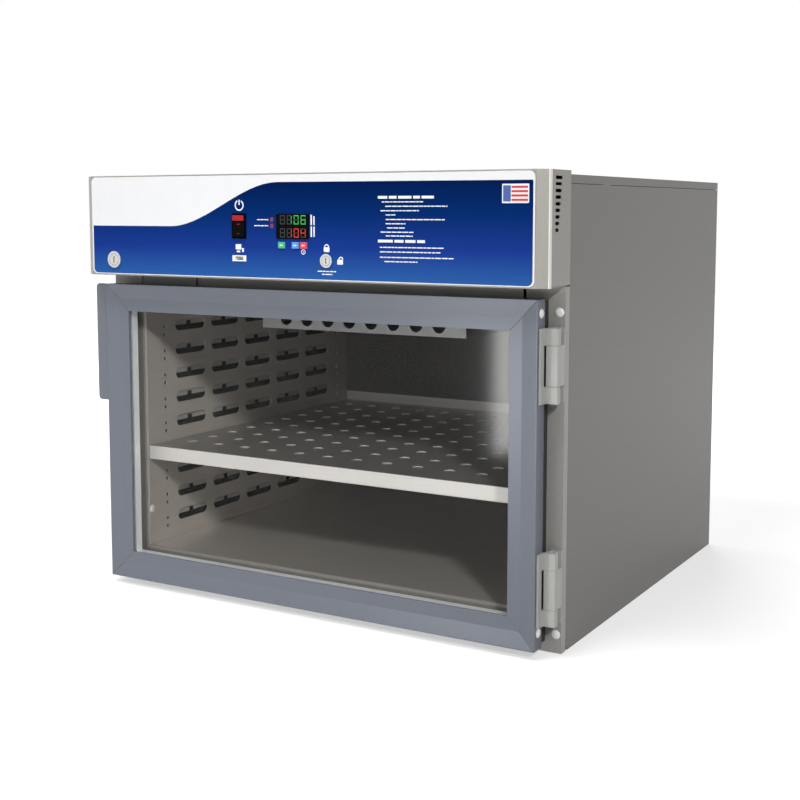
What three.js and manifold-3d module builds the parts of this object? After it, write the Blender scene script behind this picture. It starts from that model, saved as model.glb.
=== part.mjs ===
// Counter-top blanket warming cabinet, in millimetres, +Z up.
// The front faces -Y, and the origin is the centre of the underside of the base pan.
import * as THREE from 'three';
import { mergeVertices } from 'three/addons/utils/BufferGeometryUtils.js';
import Module from 'manifold-3d';

const wasm = await Module();
wasm.setup();

// Driving dimensions of the body
const BODY_WIDTH = 762;
const BODY_DEPTH = 638;
const BODY_HEIGHT = 626;
const SHEET = 1.5;
const GAP = 0.3;
const COVER_FLANGE = 11.5;
const PAN_FLANGE = 18;
const TOE_CUT = 6;

// Front frame
const FRAME_DEPTH = 14;
const STILE_WIDTH = 55;
const RAIL_NOTCH = 4;
const MOUTH_TRIM = 3.6;
const CATCH_WIDTH = 104;
const CATCH_HEIGHT = 16;
const CATCH_THICK = 2.5;

// Warming chamber
const CHAMBER_SIDE = 59.5;
const CHAMBER_REAR = 70;
const CHAMBER_FLOOR = 54;
const CHAMBER_OVERHEAD = 38;
const LINER_SET_BACK = 2;
const DUCT_DEPTH = 26;
const INSULATION = 30;

// Slots of the air-duct panels and the shelf-clip holes beside them
const SLOT_BRIDGE = 16.5;
const SLOT_HEIGHT = 18;
const SLOT_COLUMNS = 5;
const SLOT_ROWS = 9;
const SLOT_FRONT_MARGIN = 106.5;
const SLOT_REAR_MARGIN = 107.5;
const SLOT_LOW_MARGIN = 34;
const SLOT_HIGH_MARGIN = 33.2;
const CLIP_HOLE = 4.5;
const CLIP_HOLE_PAIR = 12.6;
const CLIP_HOLE_FRONT_SET = 43;
const CLIP_HOLE_REAR_SET = 40;

// Shelf
const SHELF_TOP = 213;
const SHELF_SIDE_CLEARANCE = 1.5;
const SHELF_REAR_CLEARANCE = 2;
const SHELF_LIP = 21;
const SHELF_LIP_THICK = 2;
const SHELF_STOP = 17;
const SHELF_HOLE = 17;
const SHELF_HOLE_PITCH = 51.5;
const SHELF_FIRST_ROW = 49.5;
const SHELF_HOLE_MARGIN = 22;
const RAIL_LEDGE = 11;
const RAIL_LEG = 16;
const RAIL_OVERHANG = 12;

// Heaters, plenum and fan
const HEATER_DIAMETER = 8;
const HEATER_BEND = 22;
const HEATER_END_CLEARANCE = 16;
const HEATER_STEP = 24;
const PLENUM_WIDTH = 360;
const PLENUM_FRONT_SET = 112;
const PLENUM_REAR_SET = 68;
const PLENUM_HEIGHT = 33.5;
const PLENUM_HOLE = 21;
const PLENUM_HOLES = 8;
const PLENUM_HOLE_PITCH = 38.6;
const PLENUM_HOLE_DROP = 17.5;
const FAN_DIAMETER = 150;
const FAN_BLADES = 10;
const FAN_HEIGHT = 16;
const FAN_HUB = 24;
const FAN_INTAKE = 110;
const FAN_CLEARANCE = 4;
const FAN_BLADE_THICK = 1.6;
const SHAFT_DIAMETER = 8;
const SHAFT_HOLE = 16;
const MOTOR_DIAMETER = 76;
const MOTOR_HEIGHT = 58;
const MOTOR_FLANGE = 106.4;
const MOTOR_FLANGE_THICK = 2;
const PROBE_DIAMETER = 5;
const PROBE_LENGTH = 70;
const PROBE_X = 110;
const PROBE_DROP = 55;

// Control header
const HEADER_RISE = 5;
const HEADER_HEIGHT = 148;
const HEADER_SIDE_DEPTH = 68;
const HEADER_DEPTH = 77.5;
const HEADER_CHAMFER = 13;
const OVERLAY_THICK = 0.7;
const OVERLAY_BORDER = 2;
const OVERLAY_RADIUS = 8;
const VENT_SLOTS = 9;
const VENT_PITCH = 8.2;
const VENT_HEIGHT = 4.4;
const VENT_LONGEST = 22;
const VENT_SHORTEST = 12;
const VENT_DROP = 10;
const VENT_FRONT = -50;

// Controls on the header, as X and the rise over the bottom of the header
const ROCKER_X = -88.5;
const ROCKER_RISE = 75;
const ROCKER_WIDTH = 25;
const ROCKER_HEIGHT = 35;
const ROCKER_TRAVEL = 7;
const ROCKER_CLEARANCE = 1;
const SWITCH_WALL = 1.2;
const SWITCH_WELL = 9;
const SWITCH_DEPTH = 22;
const SWITCH_PROUD = 1.2;
const DISPLAY_X = 3;
const DISPLAY_RISE = 75;
const DISPLAY_WIDTH = 54;
const DISPLAY_HEIGHT = 34;
const BUTTON_WIDTH = 11.5;
const BUTTON_HEIGHT = 9;
const BUTTON_SETS = { green: -18, blue: 5, red: 18.5 };
const BUTTON_RISE = 49;
const BUTTON_STROKE = 1;
const BUTTON_PROUD = 2;
const BUTTON_POCKET = 4;
const CONTROL_PROUD = 2;
const CONTROLLER_DEPTH = 60;
const CONTROLLER_MARGIN = 2;
const SOCKET_X = -88.5;
const SOCKET_RISE = 29.5;
const SOCKET_WIDTH = 24;
const SOCKET_HEIGHT = 8.5;
const SOCKET_DEPTH = 14;
const SOCKET_PROUD = 1;
const SOCKET_MOUTH_WIDTH = 14;
const SOCKET_MOUTH_HEIGHT = 5.2;
const SOCKET_MOUTH_DEPTH = 8;
const KEY_X = 58.6;
const KEY_RISE = 28.8;
const KEY_DIAMETER = 19;
const KEY_FLANGE = 1.5;
const KEY_SWITCH_DEPTH = 18;
const LOCK_SIDE = 59;
const LOCK_RISE = 23.5;
const LOCK_DIAMETER = 25;
const LOCK_FLANGE = 2;
const LOCK_TONGUE = 52;
const LOCK_TONGUE_WIDTH = 14;
const LOCK_TONGUE_THICK = 3;
const LOCK_TONGUE_CLEARANCE = 2;
const BARREL_SHARE = 2 / 3;
const BARREL_CLEARANCE = 0.5;
const KEYWAY_SHARE = 0.4;
const KEYWAY_WIDTH = 2;
const KEYWAY_DEPTH = 4;

// Door
const DOOR_SIDE = 19.5;
const DOOR_BOTTOM = 11;
const DOOR_HEADROOM = 15;
const DOOR_FRONT = 57;
const DOOR_RIM_DEPTH = 23;
const DOOR_RIM = 1.5;
const DOOR_BEVEL = 23;
const DOOR_BEVEL_DROP = 4;
const DOOR_RAIL = 41;
const GLASS_LIP = 5;
const GLASS_REBATE = 10;
const GLASS = 4;
const GLASS_GAP = 12.8;
const SPACER_SET = 2;
const DOOR_BACK = 25;
const DOOR_BACK_INSET = 9;
const GASKET_INSET = 3.5;
const GASKET_WIDTH = 22;
const HANDLE_HEIGHT = 181;
const HANDLE_REACH = 22.5;
const HANDLE_THICK = 3;
const HANDLE_FRONT = 53;
const HANDLE_LIP = 20;
const HANDLE_RADIUS = 6;

// Hinges
const PIN_DIAMETER = 7;
const KNUCKLE_WIDTH = 16.4;
const KNUCKLE_FRONT = 38;
const KNUCKLE_END = 22;
const KNUCKLE_RELIEF = 1;
const KNUCKLE_STEPS = 6;
const HINGE_HEIGHT = 97;
const HINGE_FOOT = 31;
const HINGE_HEAD = 37;
const LEAF_THICK = 2.4;
const LEAF_INSET = 4;
const PIN_CLEARANCE = 0.3;
const PIN_SET_BACK = 0.8;
const PIN_SET_IN = 1;

// Rear power inlet and supply
const INLET_WIDTH = 48;
const INLET_HEIGHT = 30;
const INLET_BODY_WIDTH = 30;
const INLET_BODY_HEIGHT = 22;
const INLET_DEPTH = 26;
const INLET_PROUD = 3;
const INLET_WALL = 3;
const INLET_FLOOR = 6;
const INLET_SIDE = 131;
const INLET_DROP = 81;
const SUPPLY_WIDTH = 160;
const SUPPLY_DEPTH = 98;
const SUPPLY_HEIGHT = 42;

// Modelling: how far cutters run past a face, vertex merging, and the facets of round pieces
const OVERSHOOT = 1;
const MERGE = 1e-4;
const FINE_FACETS = 24;
const ROUND_FACETS = 20;
const HUB_FACETS = 16;
const HOLE_FACETS = 12;
const PROBE_FACETS = 8;
const PUNCH_FACETS = 6;
const CLIP_FACETS = 4;

// Derived planes, with Y measured back from the front edge of the side panels
const HALF = BODY_WIDTH / 2;
const WALL_X = HALF - CHAMBER_SIDE;
const FRAME_FRONT = -FRAME_DEPTH;
const STILE_INNER = HALF - STILE_WIDTH;
const LINER_FRONT = FRAME_FRONT + LINER_SET_BACK;
const CHAMBER_BACK = BODY_DEPTH - CHAMBER_REAR;
const HEADER_TOP = BODY_HEIGHT + HEADER_RISE;
const HEADER_BOTTOM = HEADER_TOP - HEADER_HEIGHT;
const DOOR_TOP = HEADER_BOTTOM - DOOR_HEADROOM;
const CHAMBER_CEILING = DOOR_TOP - CHAMBER_OVERHEAD;
const SLOT_FIRST_COLUMN = LINER_FRONT + SLOT_FRONT_MARGIN;
const SLOT_FIRST_ROW = CHAMBER_FLOOR + SLOT_LOW_MARGIN;
const SLOT_COLUMN_PITCH = (CHAMBER_BACK - SLOT_REAR_MARGIN - SLOT_FIRST_COLUMN) / (SLOT_COLUMNS - 1);
const SLOT_ROW_PITCH = (CHAMBER_CEILING - SLOT_HIGH_MARGIN - SLOT_FIRST_ROW) / (SLOT_ROWS - 1);
const SLOT_LENGTH = SLOT_COLUMN_PITCH - SLOT_BRIDGE;
const CLIP_HOLE_FRONT = LINER_FRONT + CLIP_HOLE_FRONT_SET;
const CLIP_HOLE_REAR = CHAMBER_BACK - CLIP_HOLE_REAR_SET;
const PLENUM_FRONT = LINER_FRONT + PLENUM_FRONT_SET;
const PLENUM_REAR = CHAMBER_BACK - PLENUM_REAR_SET;
const FAN_Y = (PLENUM_FRONT + PLENUM_REAR) / 2;
const PROBE_Z = CHAMBER_CEILING - PROBE_DROP;
const ROCKER_Z = HEADER_BOTTOM + ROCKER_RISE;
const DISPLAY_Z = HEADER_BOTTOM + DISPLAY_RISE;
const BUTTON_Z = HEADER_BOTTOM + BUTTON_RISE;
const SOCKET_Z = HEADER_BOTTOM + SOCKET_RISE;
const KEY_Z = HEADER_BOTTOM + KEY_RISE;
const LOCK_X = LOCK_SIDE - HALF;
const LOCK_Z = HEADER_BOTTOM + LOCK_RISE;
const INLET_X = HALF - INLET_SIDE;
const INLET_Z = BODY_HEIGHT - INLET_DROP;
const DUCT_OUTER = WALL_X + SHEET + DUCT_DEPTH;
const HEADER_FRONT = -HEADER_DEPTH;
const FASCIA_HALF = HALF - HEADER_CHAMFER;
const OVERLAY_FRONT = HEADER_FRONT - GAP - OVERLAY_THICK;
const DOOR_HALF = HALF - DOOR_SIDE;
const HINGE_LOW = DOOR_BOTTOM + HINGE_FOOT;
const HINGE_HIGH = DOOR_TOP - HINGE_HEAD - HINGE_HEIGHT;
const DOOR_FLAT = -DOOR_FRONT + DOOR_BEVEL_DROP;
const GLASS_FRONT = DOOR_FLAT + GLASS_LIP;
const GLASS_HALF = DOOR_HALF - DOOR_RAIL + GLASS_REBATE - GAP;
const GLASS_BOTTOM = DOOR_BOTTOM + DOOR_RAIL - GLASS_REBATE + GAP;
const GLASS_TOP = DOOR_TOP - DOOR_RAIL + GLASS_REBATE - GAP;
const LEAF_OUTER = DOOR_HALF + GAP + LEAF_THICK;
const PIN_X = HALF - KNUCKLE_WIDTH / 2;
const PIN_Y = -KNUCKLE_FRONT + KNUCKLE_WIDTH / 2 + PIN_SET_BACK;
const INSULATION_TOP = CHAMBER_CEILING + SHEET + GAP + INSULATION;

// Shape helpers
function place(geometry, across, up, along) {
  return geometry.applyMatrix4(new THREE.Matrix4().makeBasis(across, up, along));
}

const X = new THREE.Vector3(1, 0, 0);
const Y = new THREE.Vector3(0, 1, 0);
const Z = new THREE.Vector3(0, 0, 1);

function shapeOf(points, holes = []) {
  const shape = new THREE.Shape(points.map(([a, b]) => new THREE.Vector2(a, b)));
  shape.holes = holes.map((hole) => new THREE.Path(hole.map(([a, b]) => new THREE.Vector2(a, b))));
  return shape;
}

function extrude(points, holes, depth) {
  return new THREE.ExtrudeGeometry(shapeOf(points, holes), { depth, bevelEnabled: false });
}

function prismZ(points, z0, z1, holes = []) {
  return extrude(points, holes, z1 - z0).translate(0, 0, z0);
}

function prismY(points, y0, y1, holes = []) {
  return place(extrude(points, holes, y1 - y0), X, Z, Y.clone().negate()).translate(0, y1, 0);
}

function prismX(points, x0, x1, holes = []) {
  return place(extrude(points, holes, x1 - x0), Y, Z, X).translate(x0, 0, 0);
}

function box(x0, x1, y0, y1, z0, z1) {
  const geometry = new THREE.BoxGeometry(x1 - x0, y1 - y0, z1 - z0);
  return geometry.translate((x0 + x1) / 2, (y0 + y1) / 2, (z0 + z1) / 2);
}

function rectangle(a0, a1, b0, b1) {
  return [[a0, b0], [a1, b0], [a1, b1], [a0, b1]];
}

function ring(a, b, radius, sides) {
  return Array.from({ length: sides }, (_, i) => {
    const angle = (i + 0.5) * 2 * Math.PI / sides;
    return [a + radius * Math.cos(angle), b + radius * Math.sin(angle)];
  });
}

function obround(a, b, length, height, steps = 3) {
  const radius = height / 2;
  const reach = length / 2 - radius;
  const points = [];
  for (const side of [1, -1]) {
    for (let i = 0; i <= steps; i += 1) {
      const turn = (side < 0 ? Math.PI : 0) - Math.PI / 2 + i * Math.PI / steps;
      points.push([a + side * reach + radius * Math.cos(turn), b + radius * Math.sin(turn)]);
    }
  }
  return points;
}

function roundedRectangle(a0, a1, b0, b1, radius, steps = 3) {
  const corners = [[a1 - radius, b0 + radius], [a1 - radius, b1 - radius],
    [a0 + radius, b1 - radius], [a0 + radius, b0 + radius]];
  const points = [];
  corners.forEach(([a, b], corner) => {
    for (let i = 0; i <= steps; i += 1) {
      const angle = (corner - 1) * Math.PI / 2 + i * Math.PI / 2 / steps;
      points.push([a + radius * Math.cos(angle), b + radius * Math.sin(angle)]);
    }
  });
  return points;
}

function rodY(x, z, radius, y0, y1, sides = ROUND_FACETS) {
  return prismY(ring(x, z, radius, sides), y0, y1);
}

function rodZ(x, y, radius, z0, z1, sides = ROUND_FACETS) {
  return prismZ(ring(x, y, radius, sides), z0, z1);
}

function solid(geometry) {
  const bare = geometry.clone();
  bare.deleteAttribute('normal');
  bare.deleteAttribute('uv');
  const merged = mergeVertices(bare, MERGE);
  return new wasm.Manifold(new wasm.Mesh({
    numProp: 3,
    vertProperties: new Float32Array(merged.attributes.position.array),
    triVerts: new Uint32Array(merged.index.array),
  }));
}

function geometryOf(manifold) {
  const { vertProperties, triVerts } = manifold.getMesh();
  const geometry = new THREE.BufferGeometry();
  geometry.setAttribute('position', new THREE.BufferAttribute(new Float32Array(vertProperties), 3));
  geometry.setIndex(new THREE.BufferAttribute(new Uint32Array(triVerts), 1));
  geometry.computeVertexNormals();
  return geometry;
}

function join(...parts) {
  return geometryOf(parts.map(solid).reduce((whole, part) => whole.add(part)));
}

function cut(base, ...tools) {
  return geometryOf(tools.map(solid).reduce((whole, tool) => whole.subtract(tool), solid(base)));
}

// Finishes
function finish(color, roughness, metalness) {
  return new THREE.MeshStandardMaterial({ color, roughness, metalness });
}

const STEEL = finish('#8a8a85', 0.42, 0.9);
const LINER = finish('#9a9790', 0.4, 0.9);
const HEADER_PAINT = finish('#97908a', 0.5, 0.2);
const DOOR_PAINT = finish('#7f8592', 0.45, 0.3);
const OVERLAY_FILM = finish('#1c3a9a', 0.35, 0);
const BLACK = finish('#161616', 0.5, 0);
const RUBBER = finish('#1d1d1d', 0.85, 0);
const WHITE = finish('#eeeeec', 0.5, 0);
const CHROME = finish('#b9bbbd', 0.2, 1);
const GLASS_CLEAR = finish('#dfe9e6', 0.05, 0);
const WOOL = finish('#c9bb86', 0.95, 0);
const GREEN = finish('#2aa05a', 0.45, 0);
const BLUE = finish('#3d7fd0', 0.45, 0);
const RED = finish('#c5303a', 0.45, 0);

const cabinet = new THREE.Group();
cabinet.position.y = -BODY_DEPTH / 2;

function add(name, geometry, material) {
  const mesh = new THREE.Mesh(geometry, material);
  mesh.name = name;
  cabinet.add(mesh);
}

const SIDES = [['left', -1], ['right', 1]];

function spanX(side, near, far) {
  return side > 0 ? [near, far] : [-far, -near];
}

// Folded outer shell: base pan, side panels, back and top cover
function outerShell() {
  const inside = HALF - SHEET - GAP;
  const pan = [[-inside, 0], [inside, 0], [inside, PAN_FLANGE], [inside - SHEET, PAN_FLANGE],
    [inside - SHEET, SHEET], [SHEET - inside, SHEET], [SHEET - inside, PAN_FLANGE], [-inside, PAN_FLANGE]];
  add('base_pan', prismY(pan, GAP, BODY_DEPTH), STEEL);

  const sideTop = BODY_HEIGHT - COVER_FLANGE - 2 * GAP;
  const sideOutline = [[0, TOE_CUT], [TOE_CUT, 0], [BODY_DEPTH, 0], [BODY_DEPTH, sideTop], [0, sideTop]];
  for (const [name, side] of SIDES) {
    const [x0, x1] = spanX(side, HALF - SHEET, HALF);
    add(`${name}_side_panel`, prismX(sideOutline, x0, x1), STEEL);
  }

  const inletHole = rectangle(INLET_X - INLET_BODY_WIDTH / 2 - GAP, INLET_X + INLET_BODY_WIDTH / 2 + GAP,
    INLET_Z - INLET_BODY_HEIGHT / 2 - GAP, INLET_Z + INLET_BODY_HEIGHT / 2 + GAP);
  const flangeInside = inside - SHEET - GAP;
  const back = rectangle(-flangeInside, flangeInside, SHEET + GAP, BODY_HEIGHT - SHEET - GAP);
  add('back_panel', prismY(back, BODY_DEPTH - SHEET, BODY_DEPTH, [inletHole]), STEEL);

  const low = BODY_HEIGHT - COVER_FLANGE;
  const roof = BODY_HEIGHT - SHEET;
  const cover = [[-HALF, low], [SHEET - HALF, low], [SHEET - HALF, roof], [HALF - SHEET, roof],
    [HALF - SHEET, low], [HALF, low], [HALF, BODY_HEIGHT], [-HALF, BODY_HEIGHT]];
  add('top_cover', prismY(cover, 0, BODY_DEPTH), STEEL);
}

// Front frame: two channel stiles, two rails, the mouth trim and the catch plate
function frontFrame() {
  const top = HEADER_BOTTOM - GAP;
  const skin = FRAME_FRONT + SHEET;
  for (const [name, side] of SIDES) {
    const channel = [[STILE_INNER, FRAME_FRONT], [HALF, FRAME_FRONT], [HALF, -GAP], [HALF - SHEET, -GAP],
      [HALF - SHEET, skin], [STILE_INNER + SHEET, skin], [STILE_INNER + SHEET, -GAP], [STILE_INNER, -GAP]];
    const outline = side > 0 ? channel : channel.map(([x, y]) => [-x, y]).reverse();
    add(`${name}_stile`, prismZ(outline, 0, top), STEEL);
  }

  const railEnd = STILE_INNER - RAIL_NOTCH;
  const mouthLow = CHAMBER_FLOOR - SHEET - GAP - MOUTH_TRIM;
  const mouthHigh = CHAMBER_CEILING + SHEET + GAP + MOUTH_TRIM;
  const channel = (z0, z1) => [[FRAME_FRONT, z0], [-GAP, z0], [-GAP, z0 + SHEET], [skin, z0 + SHEET],
    [skin, z1 - SHEET], [-GAP, z1 - SHEET], [-GAP, z1], [FRAME_FRONT, z1]];
  add('top_rail', prismX(channel(mouthHigh + GAP, top), -railEnd, railEnd), STEEL);
  add('bottom_rail', prismX(channel(0, mouthLow - GAP), -railEnd, railEnd), STEEL);

  const linerHalf = WALL_X + SHEET + GAP;
  const trimOuter = rectangle(GAP - STILE_INNER, STILE_INNER - GAP, mouthLow, mouthHigh);
  const trimInner = rectangle(-linerHalf, linerHalf, mouthLow + MOUTH_TRIM, mouthHigh - MOUTH_TRIM);
  add('mouth_trim', prismY(trimOuter, LINER_FRONT, -GAP, [trimInner.reverse()]), RUBBER);

  const catchLeft = -railEnd + GAP;
  add('catch_plate', box(catchLeft, catchLeft + CATCH_WIDTH, FRAME_FRONT - GAP - CATCH_THICK,
    FRAME_FRONT - GAP, top - CATCH_HEIGHT, top), CHROME);
}

// Chamber: slotted duct panels, plain liner sheets and the foil-faced insulation round them
function chamber() {
  const slots = [];
  const clipHoles = [];
  for (let row = 0; row < SLOT_ROWS; row += 1) {
    const z = SLOT_FIRST_ROW + row * SLOT_ROW_PITCH;
    for (let column = 0; column < SLOT_COLUMNS; column += 1) {
      slots.push(obround(SLOT_FIRST_COLUMN + column * SLOT_COLUMN_PITCH, z, SLOT_LENGTH, SLOT_HEIGHT));
    }
    for (const y of [CLIP_HOLE_FRONT, CLIP_HOLE_REAR]) {
      for (const drop of [0, CLIP_HOLE_PAIR]) {
        clipHoles.push(ring(y, z - drop, CLIP_HOLE / 2, CLIP_FACETS));
      }
    }
  }
  const low = CHAMBER_FLOOR + GAP;
  const high = CHAMBER_CEILING - GAP;
  const panel = rectangle(LINER_FRONT, CHAMBER_BACK - GAP, low, high);
  for (const [name, side] of SIDES) {
    const [x0, x1] = spanX(side, WALL_X, WALL_X + SHEET);
    const punches = [...slots, ...clipHoles].map((hole) => prismX(hole, x0 - OVERSHOOT, x1 + OVERSHOOT));
    add(`${name}_duct_panel`, cut(prismX(panel, x0, x1), ...punches), LINER);
  }

  const linerHalf = DUCT_OUTER - GAP;
  const mouthHalf = WALL_X + SHEET;
  const linerBack = CHAMBER_BACK + SHEET;
  const deck = [[-mouthHalf, LINER_FRONT], [mouthHalf, LINER_FRONT], [mouthHalf, GAP], [linerHalf, GAP],
    [linerHalf, linerBack], [-linerHalf, linerBack], [-linerHalf, GAP], [-mouthHalf, GAP]];
  add('liner_floor', prismZ(deck, CHAMBER_FLOOR - SHEET, CHAMBER_FLOOR), LINER);
  const shaftHole = ring(0, FAN_Y, SHAFT_HOLE / 2, HOLE_FACETS);
  add('liner_ceiling', prismZ(deck, CHAMBER_CEILING, CHAMBER_CEILING + SHEET, [shaftHole]), LINER);
  const back = rectangle(-linerHalf, linerHalf, low, high);
  const probeHole = ring(PROBE_X, PROBE_Z, PROBE_DIAMETER / 2 + GAP, PROBE_FACETS);
  add('liner_back', prismY(back, CHAMBER_BACK, CHAMBER_BACK + SHEET, [probeHole]), LINER);

  const jacketHalf = HALF - 2 * SHEET - 3 * GAP;
  const jacketBack = CHAMBER_BACK + SHEET + GAP + INSULATION;
  const jacketLow = CHAMBER_FLOOR - SHEET - GAP - INSULATION;
  const jacket = box(-jacketHalf, jacketHalf, GAP, jacketBack, jacketLow, INSULATION_TOP);
  const hollow = box(-DUCT_OUTER, DUCT_OUTER, -GAP, jacketBack - INSULATION, jacketLow + INSULATION,
    INSULATION_TOP - INSULATION);
  const shaftWay = rodZ(0, FAN_Y, SHAFT_HOLE / 2, CHAMBER_CEILING, INSULATION_TOP + OVERSHOOT, HOLE_FACETS);
  const probeWay = rodY(PROBE_X, PROBE_Z, PROBE_DIAMETER / 2 + GAP, CHAMBER_BACK, jacketBack + OVERSHOOT,
    PROBE_FACETS);
  add('insulation_jacket', cut(jacket, hollow, shaftWay, probeWay), WOOL);
}

// Heaters: one bent tube behind the slots of each duct panel
function heaters() {
  const low = CHAMBER_FLOOR + HEATER_END_CLEARANCE;
  const high = CHAMBER_CEILING - HEATER_END_CLEARANCE;
  const path = new THREE.CurvePath();
  const at = (y, z) => new THREE.Vector3(0, y, z);
  for (let run = 0; run < SLOT_COLUMNS; run += 1) {
    const y = SLOT_FIRST_COLUMN + run * SLOT_COLUMN_PITCH;
    const up = run % 2 === 0;
    const start = run === 0 ? low : up ? low + HEATER_BEND : high - HEATER_BEND;
    const end = run === SLOT_COLUMNS - 1 ? (up ? high : low) : up ? high - HEATER_BEND : low + HEATER_BEND;
    path.add(new THREE.LineCurve3(at(y, start), at(y, end)));
    if (run < SLOT_COLUMNS - 1) {
      const level = up ? high : low;
      const next = y + SLOT_COLUMN_PITCH;
      path.add(new THREE.QuadraticBezierCurve3(at(y, end), at(y, level), at(y + HEATER_BEND, level)));
      path.add(new THREE.LineCurve3(at(y + HEATER_BEND, level), at(next - HEATER_BEND, level)));
      const turn = at(next - HEATER_BEND, level);
      path.add(new THREE.QuadraticBezierCurve3(turn, at(next, level), at(next, end)));
    }
  }
  return path;
}

function heaterTube(path, x) {
  const section = shapeOf(ring(0, 0, HEATER_DIAMETER / 2, PUNCH_FACETS));
  const steps = Math.round(path.getLength() / HEATER_STEP);
  const tube = new THREE.ExtrudeGeometry(section, { steps, extrudePath: path, bevelEnabled: false });
  return tube.translate(x, 0, 0);
}

function addHeaters() {
  const path = heaters();
  const middle = DUCT_OUTER - GAP - HEATER_DIAMETER / 2;
  for (const [name, side] of SIDES) {
    add(`${name}_heater`, heaterTube(path, side * middle), BLACK);
  }
}

// Air plenum under the ceiling, with the circulation fan in it and the motor above
function airSystem() {
  const low = CHAMBER_CEILING - PLENUM_HEIGHT;
  const high = CHAMBER_CEILING - GAP;
  const half = PLENUM_WIDTH / 2;
  const front = PLENUM_FRONT;
  const rear = PLENUM_REAR;
  const floor = prismZ(rectangle(-half, half, front, rear), low, low + SHEET,
    [ring(0, FAN_Y, FAN_INTAKE / 2, FINE_FACETS)]);
  const walls = [
    box(-half, SHEET - half, front, rear, low, high),
    box(half - SHEET, half, front, rear, low, high),
    box(-half, half, rear - SHEET, rear, low, high),
  ];
  const holeZ = CHAMBER_CEILING - PLENUM_HOLE_DROP;
  const holes = Array.from({ length: PLENUM_HOLES }, (_, i) => {
    const x = (i - (PLENUM_HOLES - 1) / 2) * PLENUM_HOLE_PITCH;
    return ring(x, holeZ, PLENUM_HOLE / 2, HOLE_FACETS);
  });
  const face = prismY(rectangle(-half, half, low, high), front, front + SHEET, holes);
  add('air_plenum', join(face, floor, ...walls), LINER);

  const wheelLow = low + SHEET + FAN_CLEARANCE;
  const bladeHalf = FAN_BLADE_THICK / 2;
  const blades = Array.from({ length: FAN_BLADES }, (_, i) => (
    box(FAN_HUB / 2 - OVERSHOOT, FAN_DIAMETER / 2 - OVERSHOOT, -bladeHalf, bladeHalf, wheelLow + SHEET / 2,
      wheelLow + FAN_HEIGHT).rotateZ(i * 2 * Math.PI / FAN_BLADES).translate(0, FAN_Y, 0)));
  const disc = rodZ(0, FAN_Y, FAN_DIAMETER / 2, wheelLow, wheelLow + SHEET, FINE_FACETS);
  const hub = rodZ(0, FAN_Y, FAN_HUB / 2, wheelLow, wheelLow + FAN_HEIGHT, HUB_FACETS);
  const shaft = rodZ(0, FAN_Y, SHAFT_DIAMETER / 2, wheelLow, INSULATION_TOP, HOLE_FACETS);
  add('fan_impeller', join(disc, hub, shaft, ...blades), STEEL);

  const seat = INSULATION_TOP + GAP;
  const motorHalf = MOTOR_DIAMETER / 2;
  const flange = box(-MOTOR_FLANGE / 2, MOTOR_FLANGE / 2, FAN_Y - motorHalf, FAN_Y + motorHalf, seat,
    seat + MOTOR_FLANGE_THICK);
  const can = rodZ(0, FAN_Y, motorHalf, seat + MOTOR_FLANGE_THICK / 2, seat + MOTOR_HEIGHT);
  add('fan_motor', join(flange, can), BLACK);

  const probeBack = CHAMBER_BACK + SHEET + GAP + INSULATION;
  const probe = rodY(PROBE_X, PROBE_Z, PROBE_DIAMETER / 2, probeBack - PROBE_LENGTH, probeBack, PROBE_FACETS);
  add('temperature_probe', probe, CHROME);
}

// Shelf: perforated deck, folded front lip and rear stop, on two side rails
function shelf() {
  const half = WALL_X - SHELF_SIDE_CLEARANCE;
  const front = LINER_FRONT;
  const rear = CHAMBER_BACK - SHELF_REAR_CLEARANCE;
  const deckFront = front + SHELF_LIP_THICK + GAP;
  const deckRear = rear - SHEET - GAP;
  const under = SHELF_TOP - SHEET;
  const holes = [];
  const last = deckRear - SHELF_HOLE_MARGIN;
  const reach = half - SHELF_HOLE_MARGIN;
  const count = Math.floor(2 * reach / SHELF_HOLE_PITCH) + 1;
  for (let y = SHELF_FIRST_ROW; y < last; y += SHELF_HOLE_PITCH) {
    for (let i = 0; i < count; i += 1) {
      const x = (i - (count - 1) / 2) * SHELF_HOLE_PITCH;
      holes.push(rodZ(x, y, SHELF_HOLE / 2, under - OVERSHOOT, SHELF_TOP + OVERSHOOT, PUNCH_FACETS));
    }
  }
  add('shelf_deck', cut(box(-half, half, deckFront, deckRear, under, SHELF_TOP), ...holes), STEEL);
  const lipLow = SHELF_TOP - SHELF_LIP;
  add('shelf_front_lip', box(-half, half, front, front + SHELF_LIP_THICK, lipLow, SHELF_TOP), STEEL);
  add('shelf_rear_stop', box(-half, half, rear - SHEET, rear, under, SHELF_TOP + SHELF_STOP), STEEL);

  const seat = under - GAP;
  const railFront = CLIP_HOLE_FRONT - RAIL_OVERHANG;
  const railRear = CLIP_HOLE_REAR + RAIL_OVERHANG;
  for (const [name, side] of SIDES) {
    const [x0, x1] = spanX(side, WALL_X - GAP - RAIL_LEDGE, WALL_X - GAP);
    const [w0, w1] = spanX(side, WALL_X - GAP - SHEET, WALL_X - GAP);
    add(`${name}_shelf_rail`, join(box(x0, x1, railFront, railRear, seat - SHEET, seat),
      box(w0, w1, railFront, railRear, seat - RAIL_LEG, seat)), STEEL);
  }
}

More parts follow.
